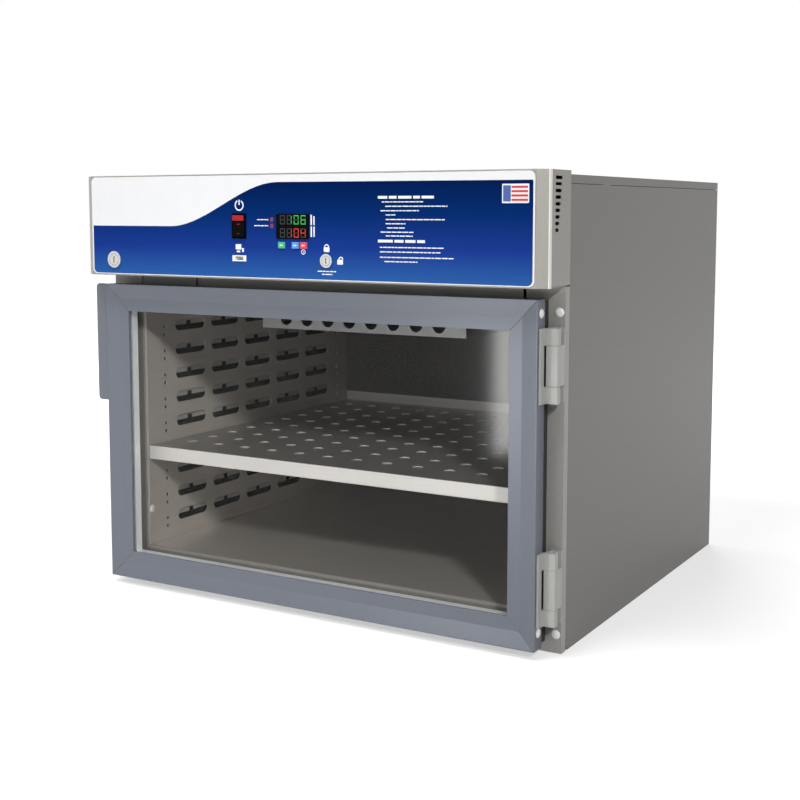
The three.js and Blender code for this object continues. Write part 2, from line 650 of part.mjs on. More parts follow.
// Header box: chamfered fascia with its cut-outs, the hood over it and the floor under it
function headerBox() {
  const inner = HEADER_FRONT + SHEET;
  const innerHalf = FASCIA_HALF - SHEET / 2;
  const fascia = [[-HALF, -HEADER_SIDE_DEPTH], [-FASCIA_HALF, HEADER_FRONT], [FASCIA_HALF, HEADER_FRONT],
    [HALF, -HEADER_SIDE_DEPTH], [HALF - SHEET, -HEADER_SIDE_DEPTH], [innerHalf, inner], [-innerHalf, inner],
    [SHEET - HALF, -HEADER_SIDE_DEPTH]];
  add('header_fascia', cut(prismZ(fascia, HEADER_BOTTOM, HEADER_TOP), ...controlHoles()), HEADER_PAINT);

  const roof = HEADER_TOP - SHEET;
  const foot = HEADER_BOTTOM + SHEET + GAP;
  const back = -GAP;
  const hoodFront = -HEADER_SIDE_DEPTH + GAP;
  const hood = [[-HALF, foot], [SHEET - HALF, foot], [SHEET - HALF, roof], [HALF - SHEET, roof],
    [HALF - SHEET, foot], [HALF, foot], [HALF, HEADER_TOP], [-HALF, HEADER_TOP]];
  const vents = Array.from({ length: VENT_SLOTS }, (_, i) => {
    const length = VENT_LONGEST - (VENT_LONGEST - VENT_SHORTEST) * i / (VENT_SLOTS - 1);
    const z = HEADER_TOP - VENT_DROP - i * VENT_PITCH;
    const slot = obround(VENT_FRONT + length / 2, z, length, VENT_HEIGHT);
    return prismX(slot, -HALF - OVERSHOOT, HALF + OVERSHOOT);
  });
  const noseHalf = HALF - 2 * SHEET - GAP;
  const noseRoot = hoodFront + SHEET;
  const nose = prismZ([[noseHalf, hoodFront], [noseHalf, noseRoot], [-noseHalf, noseRoot],
    [-noseHalf, hoodFront], [-innerHalf + GAP, inner + GAP], [innerHalf - GAP, inner + GAP]],
  roof, HEADER_TOP);
  add('header_hood', cut(join(prismY(hood, hoodFront, back), nose), ...vents), HEADER_PAINT);

  const slot = rectangle(LOCK_X - LOCK_TONGUE_WIDTH, LOCK_X + LOCK_TONGUE,
    lockTongueFront() - LOCK_TONGUE_CLEARANCE,
    lockTongueFront() + LOCK_TONGUE_THICK + LOCK_TONGUE_CLEARANCE);
  const floor = [[-innerHalf + GAP, inner + GAP], [innerHalf - GAP, inner + GAP],
    [HALF - SHEET - GAP, -HEADER_SIDE_DEPTH], [HALF - SHEET - GAP, back], [-HALF + SHEET + GAP, back],
    [-HALF + SHEET + GAP, -HEADER_SIDE_DEPTH]];
  add('header_floor', prismZ(floor, HEADER_BOTTOM, HEADER_BOTTOM + SHEET, [slot]), HEADER_PAINT);
}

function lockTongueFront() {
  return -DOOR_FRONT - LOCK_TONGUE_THICK - LOCK_TONGUE_CLEARANCE;
}

function buttonPlaces() {
  return Object.entries(BUTTON_SETS).map(([name, set]) => [name, DISPLAY_X + set]);
}

// One cutter for each control, used through the fascia and the overlay alike
function controlHoles() {
  const y0 = OVERLAY_FRONT - OVERSHOOT;
  const y1 = HEADER_FRONT + SHEET + OVERSHOOT;
  const window = (x, z, width, height) => box(x - width / 2 - GAP, x + width / 2 + GAP, y0, y1,
    z - height / 2 - GAP, z + height / 2 + GAP);
  return [
    window(ROCKER_X, ROCKER_Z, ROCKER_WIDTH, ROCKER_HEIGHT),
    window(DISPLAY_X, DISPLAY_Z, DISPLAY_WIDTH, DISPLAY_HEIGHT),
    window(SOCKET_X, SOCKET_Z, SOCKET_WIDTH, SOCKET_HEIGHT),
    ...buttonPlaces().map(([, x]) => window(x, BUTTON_Z, BUTTON_WIDTH, BUTTON_HEIGHT)),
    rodY(KEY_X, KEY_Z, KEY_DIAMETER / 2 - KEY_FLANGE + GAP, y0, y1),
    rodY(LOCK_X, LOCK_Z, LOCK_DIAMETER / 2 - LOCK_FLANGE + GAP, y0, y1),
  ];
}

// Printed overlay over the whole flat of the fascia
function overlay() {
  const half = FASCIA_HALF - OVERLAY_BORDER;
  const outline = roundedRectangle(-half, half, HEADER_BOTTOM + OVERLAY_BORDER, HEADER_TOP - OVERLAY_BORDER,
    OVERLAY_RADIUS);
  const sheet = prismY(outline, OVERLAY_FRONT, OVERLAY_FRONT + OVERLAY_THICK);
  add('control_overlay', cut(sheet, ...controlHoles()), OVERLAY_FILM);
}

// Controls: rocker switch, temperature controller with three buttons, data socket, two key cylinders
function controls() {
  const inner = HEADER_FRONT + SHEET;
  const wellBack = inner + SWITCH_WELL;
  const wellHalf = ROCKER_WIDTH / 2 - SWITCH_WALL;
  const wellRise = ROCKER_HEIGHT / 2 - SWITCH_WALL;
  const housing = box(ROCKER_X - ROCKER_WIDTH / 2, ROCKER_X + ROCKER_WIDTH / 2, OVERLAY_FRONT - SWITCH_PROUD,
    inner + SWITCH_DEPTH, ROCKER_Z - ROCKER_HEIGHT / 2, ROCKER_Z + ROCKER_HEIGHT / 2);
  const well = box(ROCKER_X - wellHalf, ROCKER_X + wellHalf, OVERLAY_FRONT - SWITCH_PROUD - OVERSHOOT,
    wellBack, ROCKER_Z - wellRise, ROCKER_Z + wellRise);
  add('switch_housing', cut(housing, well), BLACK);

  const rockerFace = OVERLAY_FRONT - SWITCH_PROUD;
  const rockerHalf = wellRise - ROCKER_CLEARANCE;
  const rise = Math.tan(ROCKER_TRAVEL * Math.PI / 180) * rockerHalf;
  const rockerBack = wellBack - ROCKER_CLEARANCE;
  const waist = rockerHalf / 2;
  const rocker = [[rockerFace + rise, ROCKER_Z - rockerHalf], [rockerBack, ROCKER_Z - waist],
    [rockerBack, ROCKER_Z + waist], [rockerFace + rise, ROCKER_Z + rockerHalf],
    [rockerFace - rise, ROCKER_Z + rockerHalf], [rockerFace, ROCKER_Z],
    [rockerFace - rise, ROCKER_Z - rockerHalf]];
  const rockerWidth = wellHalf - ROCKER_CLEARANCE;
  add('power_rocker', prismX(rocker, ROCKER_X - rockerWidth, ROCKER_X + rockerWidth), RED);

  const pocketTop = DISPLAY_Z + DISPLAY_HEIGHT / 2;
  const pocketLow = BUTTON_Z - BUTTON_HEIGHT / 2 - CONTROLLER_MARGIN;
  const moduleFront = inner + GAP + BUTTON_STROKE + BUTTON_POCKET;
  const moduleBody = box(DISPLAY_X - DISPLAY_WIDTH / 2, DISPLAY_X + DISPLAY_WIDTH / 2, moduleFront,
    moduleFront + CONTROLLER_DEPTH, pocketLow, pocketTop);
  const window = box(DISPLAY_X - DISPLAY_WIDTH / 2, DISPLAY_X + DISPLAY_WIDTH / 2,
    OVERLAY_FRONT - SWITCH_PROUD, moduleFront + OVERSHOOT, DISPLAY_Z - DISPLAY_HEIGHT / 2, pocketTop);
  add('controller_module', join(moduleBody, window), BLACK);

  const inks = { green: GREEN, blue: BLUE, red: RED };
  for (const [name, x] of buttonPlaces()) {
    const button = box(x - BUTTON_WIDTH / 2, x + BUTTON_WIDTH / 2, OVERLAY_FRONT - BUTTON_PROUD,
      moduleFront - BUTTON_STROKE - GAP, BUTTON_Z - BUTTON_HEIGHT / 2, BUTTON_Z + BUTTON_HEIGHT / 2);
    add(`${name}_button`, button, inks[name]);
  }

  const socketFront = OVERLAY_FRONT - SOCKET_PROUD;
  const socketBlock = (width, height, y0, y1) => box(SOCKET_X - width / 2, SOCKET_X + width / 2, y0, y1,
    SOCKET_Z - height / 2, SOCKET_Z + height / 2);
  const socket = socketBlock(SOCKET_WIDTH, SOCKET_HEIGHT, socketFront, inner + SOCKET_DEPTH);
  const mouth = socketBlock(SOCKET_MOUTH_WIDTH, SOCKET_MOUTH_HEIGHT, socketFront - OVERSHOOT,
    inner + SOCKET_MOUTH_DEPTH);
  add('data_socket', cut(socket, mouth), WHITE);

  const keyEnd = inner + KEY_SWITCH_DEPTH;
  add('key_switch_body', cylinderSleeve(KEY_X, KEY_Z, KEY_DIAMETER, KEY_FLANGE, keyEnd), CHROME);
  add('key_barrel', barrel(KEY_X, KEY_Z, KEY_DIAMETER, keyEnd + GAP), CHROME);
  const sleeveEnd = lockTongueFront() - GAP;
  add('lock_body', cylinderSleeve(LOCK_X, LOCK_Z, LOCK_DIAMETER, LOCK_FLANGE, sleeveEnd), CHROME);
  const tongue = box(LOCK_X - LOCK_TONGUE_WIDTH / 2, LOCK_X + LOCK_TONGUE, lockTongueFront(),
    lockTongueFront() + LOCK_TONGUE_THICK, LOCK_Z - LOCK_TONGUE_WIDTH / 2, LOCK_Z + LOCK_TONGUE_WIDTH / 2);
  const lockBarrel = barrel(LOCK_X, LOCK_Z, LOCK_DIAMETER, lockTongueFront() + LOCK_TONGUE_THICK / 2);
  add('lock_barrel', join(lockBarrel, tongue), CHROME);
}

function cylinderSleeve(x, z, diameter, flange, end) {
  const seat = OVERLAY_FRONT - GAP;
  const front = seat - CONTROL_PROUD;
  const head = rodY(x, z, diameter / 2, front, seat, FINE_FACETS);
  const sleeve = rodY(x, z, diameter / 2 - flange, seat - OVERSHOOT, end, FINE_FACETS);
  const boreRadius = BARREL_SHARE * diameter / 2 + BARREL_CLEARANCE;
  const bore = rodY(x, z, boreRadius, front - OVERSHOOT, end + OVERSHOOT, FINE_FACETS);
  return cut(join(head, sleeve), bore);
}

function barrel(x, z, diameter, end) {
  const front = OVERLAY_FRONT - GAP - CONTROL_PROUD;
  const reach = KEYWAY_SHARE * diameter / 2;
  const keyway = box(x - KEYWAY_WIDTH / 2, x + KEYWAY_WIDTH / 2, front - OVERSHOOT, front + KEYWAY_DEPTH,
    z - reach, z + reach);
  return cut(rodY(x, z, BARREL_SHARE * diameter / 2, front, end, FINE_FACETS), keyway);
}

// Door: four mitred rails round a double-glazed unit
function doorRail(length) {
  const back = -DOOR_BACK;
  const rimBack = -DOOR_FRONT + DOOR_RIM_DEPTH;
  const rebate = DOOR_RAIL - GLASS_REBATE;
  const section = [[0, -DOOR_FRONT], [DOOR_RIM, -DOOR_FRONT], [DOOR_BEVEL, DOOR_FLAT], [DOOR_RAIL, DOOR_FLAT],
    [DOOR_RAIL, GLASS_FRONT - GAP], [rebate, GLASS_FRONT - GAP], [rebate, back], [DOOR_BACK_INSET, back],
    [DOOR_BACK_INSET, rimBack], [0, rimBack]];
  const geometry = extrude(section, [], length);
  const position = geometry.attributes.position;
  for (let i = 0; i < position.count; i += 1) {
    const inset = position.getX(i) + GAP / 2;
    position.setZ(i, position.getZ(i) < length / 2 ? inset : length - inset);
  }
  return geometry;
}

function door() {
  const width = 2 * DOOR_HALF;
  const height = DOOR_TOP - DOOR_BOTTOM;
  const up = Z.clone();
  const down = Z.clone().negate();
  const left = X.clone().negate();
  const rail = (name, length, across, along, x, z) => {
    add(`door_${name}_rail`, place(doorRail(length), across, Y, along).translate(x, 0, z), DOOR_PAINT);
  };
  rail('left', height, X, up, -DOOR_HALF, DOOR_BOTTOM);
  rail('right', height, left, down, DOOR_HALF, DOOR_TOP);
  rail('top', width, down, X, -DOOR_HALF, DOOR_TOP);
  rail('bottom', width, up, left, DOOR_HALF, DOOR_BOTTOM);

  const pane = (y) => box(-GLASS_HALF, GLASS_HALF, y, y + GLASS, GLASS_BOTTOM, GLASS_TOP);
  const innerPane = GLASS_FRONT + GLASS + GLASS_GAP + 2 * GAP;
  add('outer_glass', pane(GLASS_FRONT), GLASS_CLEAR);
  add('inner_glass', pane(innerPane), GLASS_CLEAR);
  const spacerWidth = GLASS_REBATE - SPACER_SET;
  const paneLoop = (inset) => rectangle(inset - GLASS_HALF, GLASS_HALF - inset, GLASS_BOTTOM + inset,
    GLASS_TOP - inset);
  const spacer = prismY(paneLoop(0), GLASS_FRONT + GLASS + GAP, innerPane - GAP, [paneLoop(spacerWidth)]);
  add('glass_spacer', spacer, CHROME);

  const loop = (inset) => rectangle(inset - DOOR_HALF, DOOR_HALF - inset, DOOR_BOTTOM + inset,
    DOOR_TOP - inset);
  add('door_gasket', prismY(loop(GASKET_INSET), GAP - DOOR_BACK, FRAME_FRONT - GAP,
    [loop(GASKET_INSET + GASKET_WIDTH)]), RUBBER);

  const handleX = -DOOR_HALF - GAP;
  const handleLow = DOOR_TOP - HANDLE_HEIGHT;
  const face = prismY(roundedRectangle(handleX - HANDLE_REACH, handleX, handleLow, DOOR_TOP, HANDLE_RADIUS),
    -HANDLE_FRONT, HANDLE_THICK - HANDLE_FRONT);
  const trim = HANDLE_RADIUS + OVERSHOOT;
  const flange = (x) => box(x, x + HANDLE_THICK, OVERSHOOT - HANDLE_FRONT, HANDLE_LIP - HANDLE_FRONT,
    handleLow + trim, DOOR_TOP - trim);
  const root = flange(handleX - HANDLE_THICK);
  const grip = flange(handleX - HANDLE_REACH);
  add('door_handle', join(face, root, grip), DOOR_PAINT);
}

// Hinges: the door leaf has the outer knuckles, the frame leaf the middle one
function knuckle(back) {
  const half = KNUCKLE_WIDTH / 2;
  const points = [[PIN_X - half, -KNUCKLE_FRONT], [PIN_X + half, -KNUCKLE_FRONT]];
  if (back === null) {
    for (let i = 0; i <= KNUCKLE_STEPS; i += 1) {
      const angle = i * Math.PI / KNUCKLE_STEPS;
      points.push([PIN_X + half * Math.cos(angle), PIN_Y + half * Math.sin(angle)]);
    }
  } else {
    points.push([PIN_X + half, back], [PIN_X - half, back]);
  }
  return points;
}

function hinges() {
  const leafBack = FRAME_FRONT - GAP;
  const bore = [ring(PIN_X, PIN_Y, PIN_DIAMETER / 2 + PIN_CLEARANCE, HOLE_FACETS)];
  for (const [name, low] of [['lower', HINGE_LOW], ['upper', HINGE_HIGH]]) {
    const high = low + HINGE_HEIGHT;
    const midLow = low + KNUCKLE_END;
    const midHigh = high - KNUCKLE_END;
    const leafInner = LEAF_OUTER - LEAF_THICK;
    const plateBack = -KNUCKLE_FRONT - LEAF_INSET;
    const plate = box(leafInner, LEAF_OUTER, LEAF_INSET - DOOR_FRONT, plateBack, low, high);
    const bridge = (z0, z1) => box(leafInner, PIN_X - KNUCKLE_WIDTH / 2 + OVERSHOOT, plateBack - OVERSHOOT,
      DOOR_RIM_DEPTH - DOOR_FRONT - OVERSHOOT, z0, z1);
    const ends = [[low, midLow], [midHigh, high]];
    const bridges = ends.map(([z0, z1]) => bridge(z0, z1));
    const knuckles = ends.map(([z0, z1]) => prismZ(knuckle(null), z0, z1, bore));
    add(`${name}_hinge_door_leaf`, join(plate, ...bridges, ...knuckles), STEEL);
    const middle = knuckle(leafBack).map(([x, y]) => [Math.max(x, LEAF_OUTER + KNUCKLE_RELIEF), y]);
    add(`${name}_hinge_frame_leaf`, join(prismZ(middle, midLow + GAP, midHigh - GAP, bore),
      box(PIN_X - KNUCKLE_WIDTH / 2, HALF, leafBack - SHEET, leafBack, low, high)), STEEL);
    const pin = rodZ(PIN_X, PIN_Y, PIN_DIAMETER / 2, low + PIN_SET_IN, high - PIN_SET_IN, HOLE_FACETS);
    add(`${name}_hinge_pin`, pin, CHROME);
  }
}

// Power supply on the chamber insulation and the inlet in the back panel
function powerPath() {
  const seat = INSULATION_TOP + GAP;
  add('power_supply', box(-HALF / 2 - SUPPLY_WIDTH / 2, -HALF / 2 + SUPPLY_WIDTH / 2, SUPPLY_DEPTH,
    2 * SUPPLY_DEPTH, seat, seat + SUPPLY_HEIGHT), STEEL);

  const outside = BODY_DEPTH + GAP;
  const block = (width, height, y0, y1) => box(INLET_X - width / 2, INLET_X + width / 2, y0, y1,
    INLET_Z - height / 2, INLET_Z + height / 2);
  const flange = block(INLET_WIDTH, INLET_HEIGHT, outside, outside + INLET_PROUD);
  const rear = outside - INLET_DEPTH;
  const body = block(INLET_BODY_WIDTH, INLET_BODY_HEIGHT, rear, outside + INLET_PROUD / 2);
  const pocket = block(INLET_BODY_WIDTH - 2 * INLET_WALL, INLET_BODY_HEIGHT - 2 * INLET_WALL,
    rear + INLET_FLOOR, outside + INLET_PROUD + OVERSHOOT);
  add('power_inlet', cut(join(flange, body), pocket), BLACK);
}

outerShell();
frontFrame();
chamber();
addHeaters();
airSystem();
shelf();
headerBox();
overlay();
controls();
door();
hinges();
powerPath();

export default cabinet;
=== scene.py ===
import math
import random

import bmesh
import bpy
from mathutils import Matrix, Vector


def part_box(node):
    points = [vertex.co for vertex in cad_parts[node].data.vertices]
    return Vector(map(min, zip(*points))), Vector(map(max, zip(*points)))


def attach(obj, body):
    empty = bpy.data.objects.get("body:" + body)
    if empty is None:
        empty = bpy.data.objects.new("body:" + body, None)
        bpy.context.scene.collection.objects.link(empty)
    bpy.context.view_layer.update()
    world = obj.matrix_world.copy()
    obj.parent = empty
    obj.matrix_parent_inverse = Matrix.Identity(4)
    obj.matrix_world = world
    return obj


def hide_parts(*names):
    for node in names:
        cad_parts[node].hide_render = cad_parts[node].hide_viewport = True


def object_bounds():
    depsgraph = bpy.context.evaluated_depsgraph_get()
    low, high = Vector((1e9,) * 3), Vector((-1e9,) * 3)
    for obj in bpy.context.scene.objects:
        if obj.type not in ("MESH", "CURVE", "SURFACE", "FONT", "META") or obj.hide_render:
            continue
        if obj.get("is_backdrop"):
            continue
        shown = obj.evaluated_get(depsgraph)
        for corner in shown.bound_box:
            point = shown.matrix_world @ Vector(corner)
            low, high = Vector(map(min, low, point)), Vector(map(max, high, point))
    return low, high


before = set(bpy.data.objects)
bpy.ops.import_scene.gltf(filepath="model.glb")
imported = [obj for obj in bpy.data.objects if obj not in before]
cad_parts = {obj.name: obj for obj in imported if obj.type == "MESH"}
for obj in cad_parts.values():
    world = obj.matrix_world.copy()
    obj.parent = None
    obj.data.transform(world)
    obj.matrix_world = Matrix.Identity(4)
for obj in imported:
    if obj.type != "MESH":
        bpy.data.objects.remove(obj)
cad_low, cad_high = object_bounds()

# Camera: a studio still taken from the right of the cabinet, a little above its middle.
# Lens, turn and shift were solved from the straight edges of the body, so the lines converge alike.
CAMERA_PLACE = (1.02728, -1.86407, 0.58098)
CAMERA_AZIMUTH = 30.2
CAMERA_DIP = 5.79
CAMERA_LENS = 58.2
CAMERA_SHIFT = -0.0741

scene = bpy.context.scene
camera = bpy.data.objects.new("camera", bpy.data.cameras.new("camera"))
scene.collection.objects.link(camera)
camera.location = CAMERA_PLACE
camera.rotation_euler = (math.radians(90 - CAMERA_DIP), 0, math.radians(CAMERA_AZIMUTH))
camera.data.lens = CAMERA_LENS
camera.data.shift_y = CAMERA_SHIFT
scene.camera = camera
scene.view_settings.view_transform = "Standard"

# Studio: a pale floor, white surroundings and soft lamps, the strongest high in front on the right.
# The white is seen by the camera, by gloss and through glass, while a dimmer grey lights the rest.
FLOOR_SIZE = 14
FLOOR_COLOUR = (0.55, 0.55, 0.55)
FLOOR_FADE = (0.9, 2.6)
FLOOR_LIFT = (0.5, 1.0)
AMBIENT = 0.1
SUN = 0.5
SUN_SPREAD = 75
LAMPS = (
    ("key", (3.0, -3.3, 2.6), (-0.05, -0.2, 0.25), 0.45, 0.45, 114),
    ("fill", (-2.0, -2.4, 1.8), (0.0, -0.3, 0.3), 1.0, 0.8, 5),
    ("front_top", (-0.4, -1.6, 3.3), (0.0, -0.4, 0.3), 1.2, 0.6, 62),
    ("side", (1.0, 0.15, 1.4), (0.38, 0.0, 0.4), 0.6, 0.6, 1.0),
    ("rear", (-1.2, 2.7, 1.8), (0.0, 0.3, 0.3), 1.6, 1.2, 46),
    ("left", (-2.7, 0.7, 1.7), (-0.38, 0.0, 0.3), 1.4, 1.2, 28),
    ("strip", (-0.095, -1.2, 0.23), (-0.095, -0.3, 0.23), 0.036, 0.28, 1.7),
)


def link(name, mesh):
    obj = bpy.data.objects.new(name, mesh)
    scene.collection.objects.link(obj)
    return obj


def surface(name, colour, rough, metal=0.0, vary=0.08, scale=(90, 90, 90), bump=0.05, glow=0.0, sheen=0.5):
    """A shader whose colour and gloss vary with noise stretched along the piece's own axes."""
    material = bpy.data.materials.new(name)
    material.use_nodes = True
    nodes = material.node_tree.nodes
    links = material.node_tree.links
    shader = nodes["Principled BSDF"]
    coords = nodes.new("ShaderNodeTexCoord")
    mapping = nodes.new("ShaderNodeMapping")
    mapping.inputs["Scale"].default_value = scale
    noise = nodes.new("ShaderNodeTexNoise")
    noise.inputs["Scale"].default_value = 1.0
    noise.inputs["Detail"].default_value = 5.0
    ramp = nodes.new("ShaderNodeValToRGB")
    for element, place, level in zip(ramp.color_ramp.elements, (0.3, 0.7), (1 - vary, 1 + vary)):
        element.position = place
        element.color = (*(min(1.0, c * level) for c in colour), 1)
    gloss = nodes.new("ShaderNodeMapRange")
    gloss.inputs["To Min"].default_value = max(0.0, rough * (1 - 2 * vary))
    gloss.inputs["To Max"].default_value = min(1.0, rough * (1 + 2 * vary))
    relief = nodes.new("ShaderNodeBump")
    relief.inputs["Strength"].default_value = bump
    relief.inputs["Distance"].default_value = 0.001
    links.new(coords.outputs["Object"], mapping.inputs["Vector"])
    links.new(mapping.outputs["Vector"], noise.inputs["Vector"])
    links.new(noise.outputs["Fac"], ramp.inputs["Fac"])
    links.new(noise.outputs["Fac"], gloss.inputs["Value"])
    links.new(noise.outputs["Fac"], relief.inputs["Height"])
    links.new(ramp.outputs["Color"], shader.inputs["Base Color"])
    links.new(gloss.outputs["Result"], shader.inputs["Roughness"])
    links.new(relief.outputs["Normal"], shader.inputs["Normal"])
    shader.inputs["Metallic"].default_value = metal
    shader.inputs["Specular IOR Level"].default_value = sheen
    if glow:
        links.new(ramp.outputs["Color"], shader.inputs["Emission Color"])
        shader.inputs["Emission Strength"].default_value = glow
    return material


floor_bm = bmesh.new()
bmesh.ops.create_grid(floor_bm, x_segments=8, y_segments=8, size=FLOOR_SIZE / 2)
floor_mesh = bpy.data.meshes.new("floor")
floor_bm.to_mesh(floor_mesh)
floor_bm.free()
floor = link("floor", floor_mesh)
paper = surface("floor_paper", FLOOR_COLOUR, 0.8, vary=0.01, scale=(3, 3, 3), bump=0, sheen=0)
floor.data.materials.append(paper)
floor.location.z = cad_low.z - 0.0005
floor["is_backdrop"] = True

for lamp_name, place, aim, width, height, power in LAMPS:
    lamp = bpy.data.lights.new(lamp_name, "AREA")
    lamp.shape = "RECTANGLE"
    lamp.size = width
    lamp.size_y = height
    lamp.energy = power
    lamp_object = link(lamp_name, lamp)
    lamp_object.location = place
    lamp_object.rotation_euler = (Vector(aim) - Vector(place)).to_track_quat("-Z", "Y").to_euler()
    lamp_object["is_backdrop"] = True

sun = bpy.data.lights.new("overhead", "SUN")
sun.energy = SUN
sun.angle = math.radians(SUN_SPREAD)
link("overhead", sun)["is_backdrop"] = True


def seen_plainly(tree):
    """A value of 1 for rays that show the surroundings: from the camera, off gloss and through glass."""
    path = tree.nodes.new("ShaderNodeLightPath")
    either = tree.nodes.new("ShaderNodeMath")
    either.operation = "MAXIMUM"
    any_of = tree.nodes.new("ShaderNodeMath")
    any_of.operation = "MAXIMUM"
    tree.links.new(path.outputs["Is Camera Ray"], either.inputs[0])
    tree.links.new(path.outputs["Is Glossy Ray"], either.inputs[1])
    tree.links.new(either.outputs[0], any_of.inputs[0])
    tree.links.new(path.outputs["Is Transmission Ray"], any_of.inputs[1])
    return any_of.outputs[0]


paper_nodes = paper.node_tree.nodes
paper_links = paper.node_tree.links
from_middle = paper_nodes.new("ShaderNodeVectorMath")
from_middle.operation = "LENGTH"
lift = paper_nodes.new("ShaderNodeMapRange")
for socket, value in zip(("From Min", "From Max", "To Min", "To Max"), (*FLOOR_FADE, *FLOOR_LIFT)):
    lift.inputs[socket].default_value = value
lift_seen = paper_nodes.new("ShaderNodeMath")
lift_seen.operation = "MULTIPLY"
paper_links.new(paper_nodes["Texture Coordinate"].outputs["Object"], from_middle.inputs[0])
paper_links.new(from_middle.outputs["Value"], lift.inputs["Value"])
paper_links.new(lift.outputs["Result"], lift_seen.inputs[0])
paper_links.new(seen_plainly(paper.node_tree), lift_seen.inputs[1])
paper_links.new(lift_seen.outputs[0], paper_nodes["Principled BSDF"].inputs["Emission Strength"])
paper_nodes["Principled BSDF"].inputs["Emission Color"].default_value = (1, 1, 1, 1)

world = bpy.data.worlds.new("studio")
world.use_nodes = True
scene.world = world
world_nodes = world.node_tree.nodes
world_links = world.node_tree.links
ambient = world_nodes["Background"]
ambient.inputs["Color"].default_value = (1, 1, 1, 1)
ambient.inputs["Strength"].default_value = AMBIENT
white = world_nodes.new("ShaderNodeBackground")
white.inputs["Color"].default_value = (1, 1, 1, 1)
choice = world_nodes.new("ShaderNodeMixShader")
world_links.new(seen_plainly(world.node_tree), choice.inputs["Fac"])
world_links.new(ambient.outputs[0], choice.inputs[1])
world_links.new(white.outputs[0], choice.inputs[2])
world_links.new(choice.outputs[0], world_nodes["World Output"].inputs["Surface"])

# Outer shell: folded satin stainless sheets, a base pan, two sides, a back and a lid with short flanges.
# The CAD sheets are kept, with their cut edges rounded, and the brushing runs from front to back.
MM = 0.001
STEEL_COLOUR = (0.172, 0.167, 0.158)
SHEET_EDGE = 0.35


def dress(material, *names, edge=SHEET_EDGE):
    """Gives CAD nodes a material, and rounds their edges over a welded copy of the loose triangles."""
    for node_name in names:
        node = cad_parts[node_name]
        node.data.materials.clear()
        node.data.materials.append(material)
        if edge:
            weld = node.modifiers.new("weld", "WELD")
            weld.merge_threshold = 0.00002
            bevel = node.modifiers.new("round", "BEVEL")
            bevel.width = edge * MM
            bevel.segments = 2
            bevel.limit_method = "ANGLE"
            bevel.angle_limit = math.radians(35)


steel = surface("satin_steel", STEEL_COLOUR, 0.4, metal=0.22, vary=0.05, scale=(420, 5, 420), bump=0.015,
                sheen=0.2)
dress(steel, "base_pan", "left_side_panel", "right_side_panel", "back_panel", "top_cover")

# Screws: pan heads of bright steel that hold the back panel to the frame, four down each edge.
# Each is turned from a half profile, with a round socket sunk into its head.
SCREW_PROFILE = ((0, 1.1), (0.7, 1.1), (0.9, 2.3), (2.6, 2.0), (3.7, 1.2), (4.0, 0.2), (4.0, 0))
BACK_SCREW_INSET = 16
BACK_SCREW_ROWS = 4


def turned(bm, profile, centre, axis, steps=24):
    """Spins a half profile of (radius, height) in mm about an axis through a centre in metres."""
    verts = [bm.verts.new((r * MM, 0, h * MM)) for r, h in profile]
    edges = [bm.edges.new(pair) for pair in zip(verts, verts[1:])]
    bmesh.ops.spin(bm, geom=verts + edges, cent=(0, 0, 0), axis=(0, 0, 1), angle=2 * math.pi, steps=steps,
                   use_merge=True)
    turn = Vector(axis).to_track_quat("Z", "Y").to_matrix().to_4x4()
    fresh = [v for v in bm.verts if not v.tag]
    bmesh.ops.transform(bm, matrix=Matrix.Translation(centre) @ turn, verts=fresh)
    for v in bm.verts:
        v.tag = True


def piece(name, bm, material, body, slot, *replaced, smooth=False):
    """Closes a bmesh into a finished piece that rides on a body and shows the given material; the slot
    argument is not used.
    """
    bmesh.ops.remove_doubles(bm, verts=bm.verts, dist=0.000002)
    bmesh.ops.recalc_face_normals(bm, faces=bm.faces)
    for face in bm.faces:
        face.smooth = smooth
    mesh = bpy.data.meshes.new(name)
    bm.to_mesh(mesh)
    bm.free()
    obj = link(name, mesh)
    obj.data.materials.append(material)
    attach(obj, body)
    if replaced:
        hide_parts(*replaced)


bright = surface("bright_steel", (0.62, 0.62, 0.61), 0.25, metal=0.9, vary=0.05, scale=(300, 300, 300))
back_low, back_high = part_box("back_panel")
screws = bmesh.new()
for row in range(BACK_SCREW_ROWS):
    share = row / (BACK_SCREW_ROWS - 1)
    inset = BACK_SCREW_INSET * MM
    z = back_low[2] + inset + share * (back_high[2] - back_low[2] - 2 * inset)
    for x in (back_low[0] + inset, back_high[0] - inset):
        turned(screws, SCREW_PROFILE, (x, back_high[1], z), (0, 1, 0))
piece("back_screws", screws, bright, "cabinet", "bright_metal", smooth=True)

# Front frame: two channel stiles and two rails of paler steel round the chamber's mouth.
# A grey trim lines the mouth, and the catch plate hangs from the rail over the door.
FRAME_COLOUR = (0.335, 0.326, 0.307)
frame_steel = surface("frame_steel", FRAME_COLOUR, 0.45, metal=0.15, vary=0.04, scale=(60, 60, 500),
                      bump=0.03, sheen=0.3)
dress(frame_steel, "left_stile", "right_stile", "top_rail", "bottom_rail")
trim = surface("grey_trim", (0.42, 0.40, 0.37), 0.5, vary=0.05, scale=(200, 200, 200))
dress(trim, "mouth_trim")
dark_steel = surface("dark_plate", (0.16, 0.16, 0.165), 0.45, metal=0.4, vary=0.08, scale=(30, 300, 300))
dress(dark_steel, "catch_plate", edge=0.5)

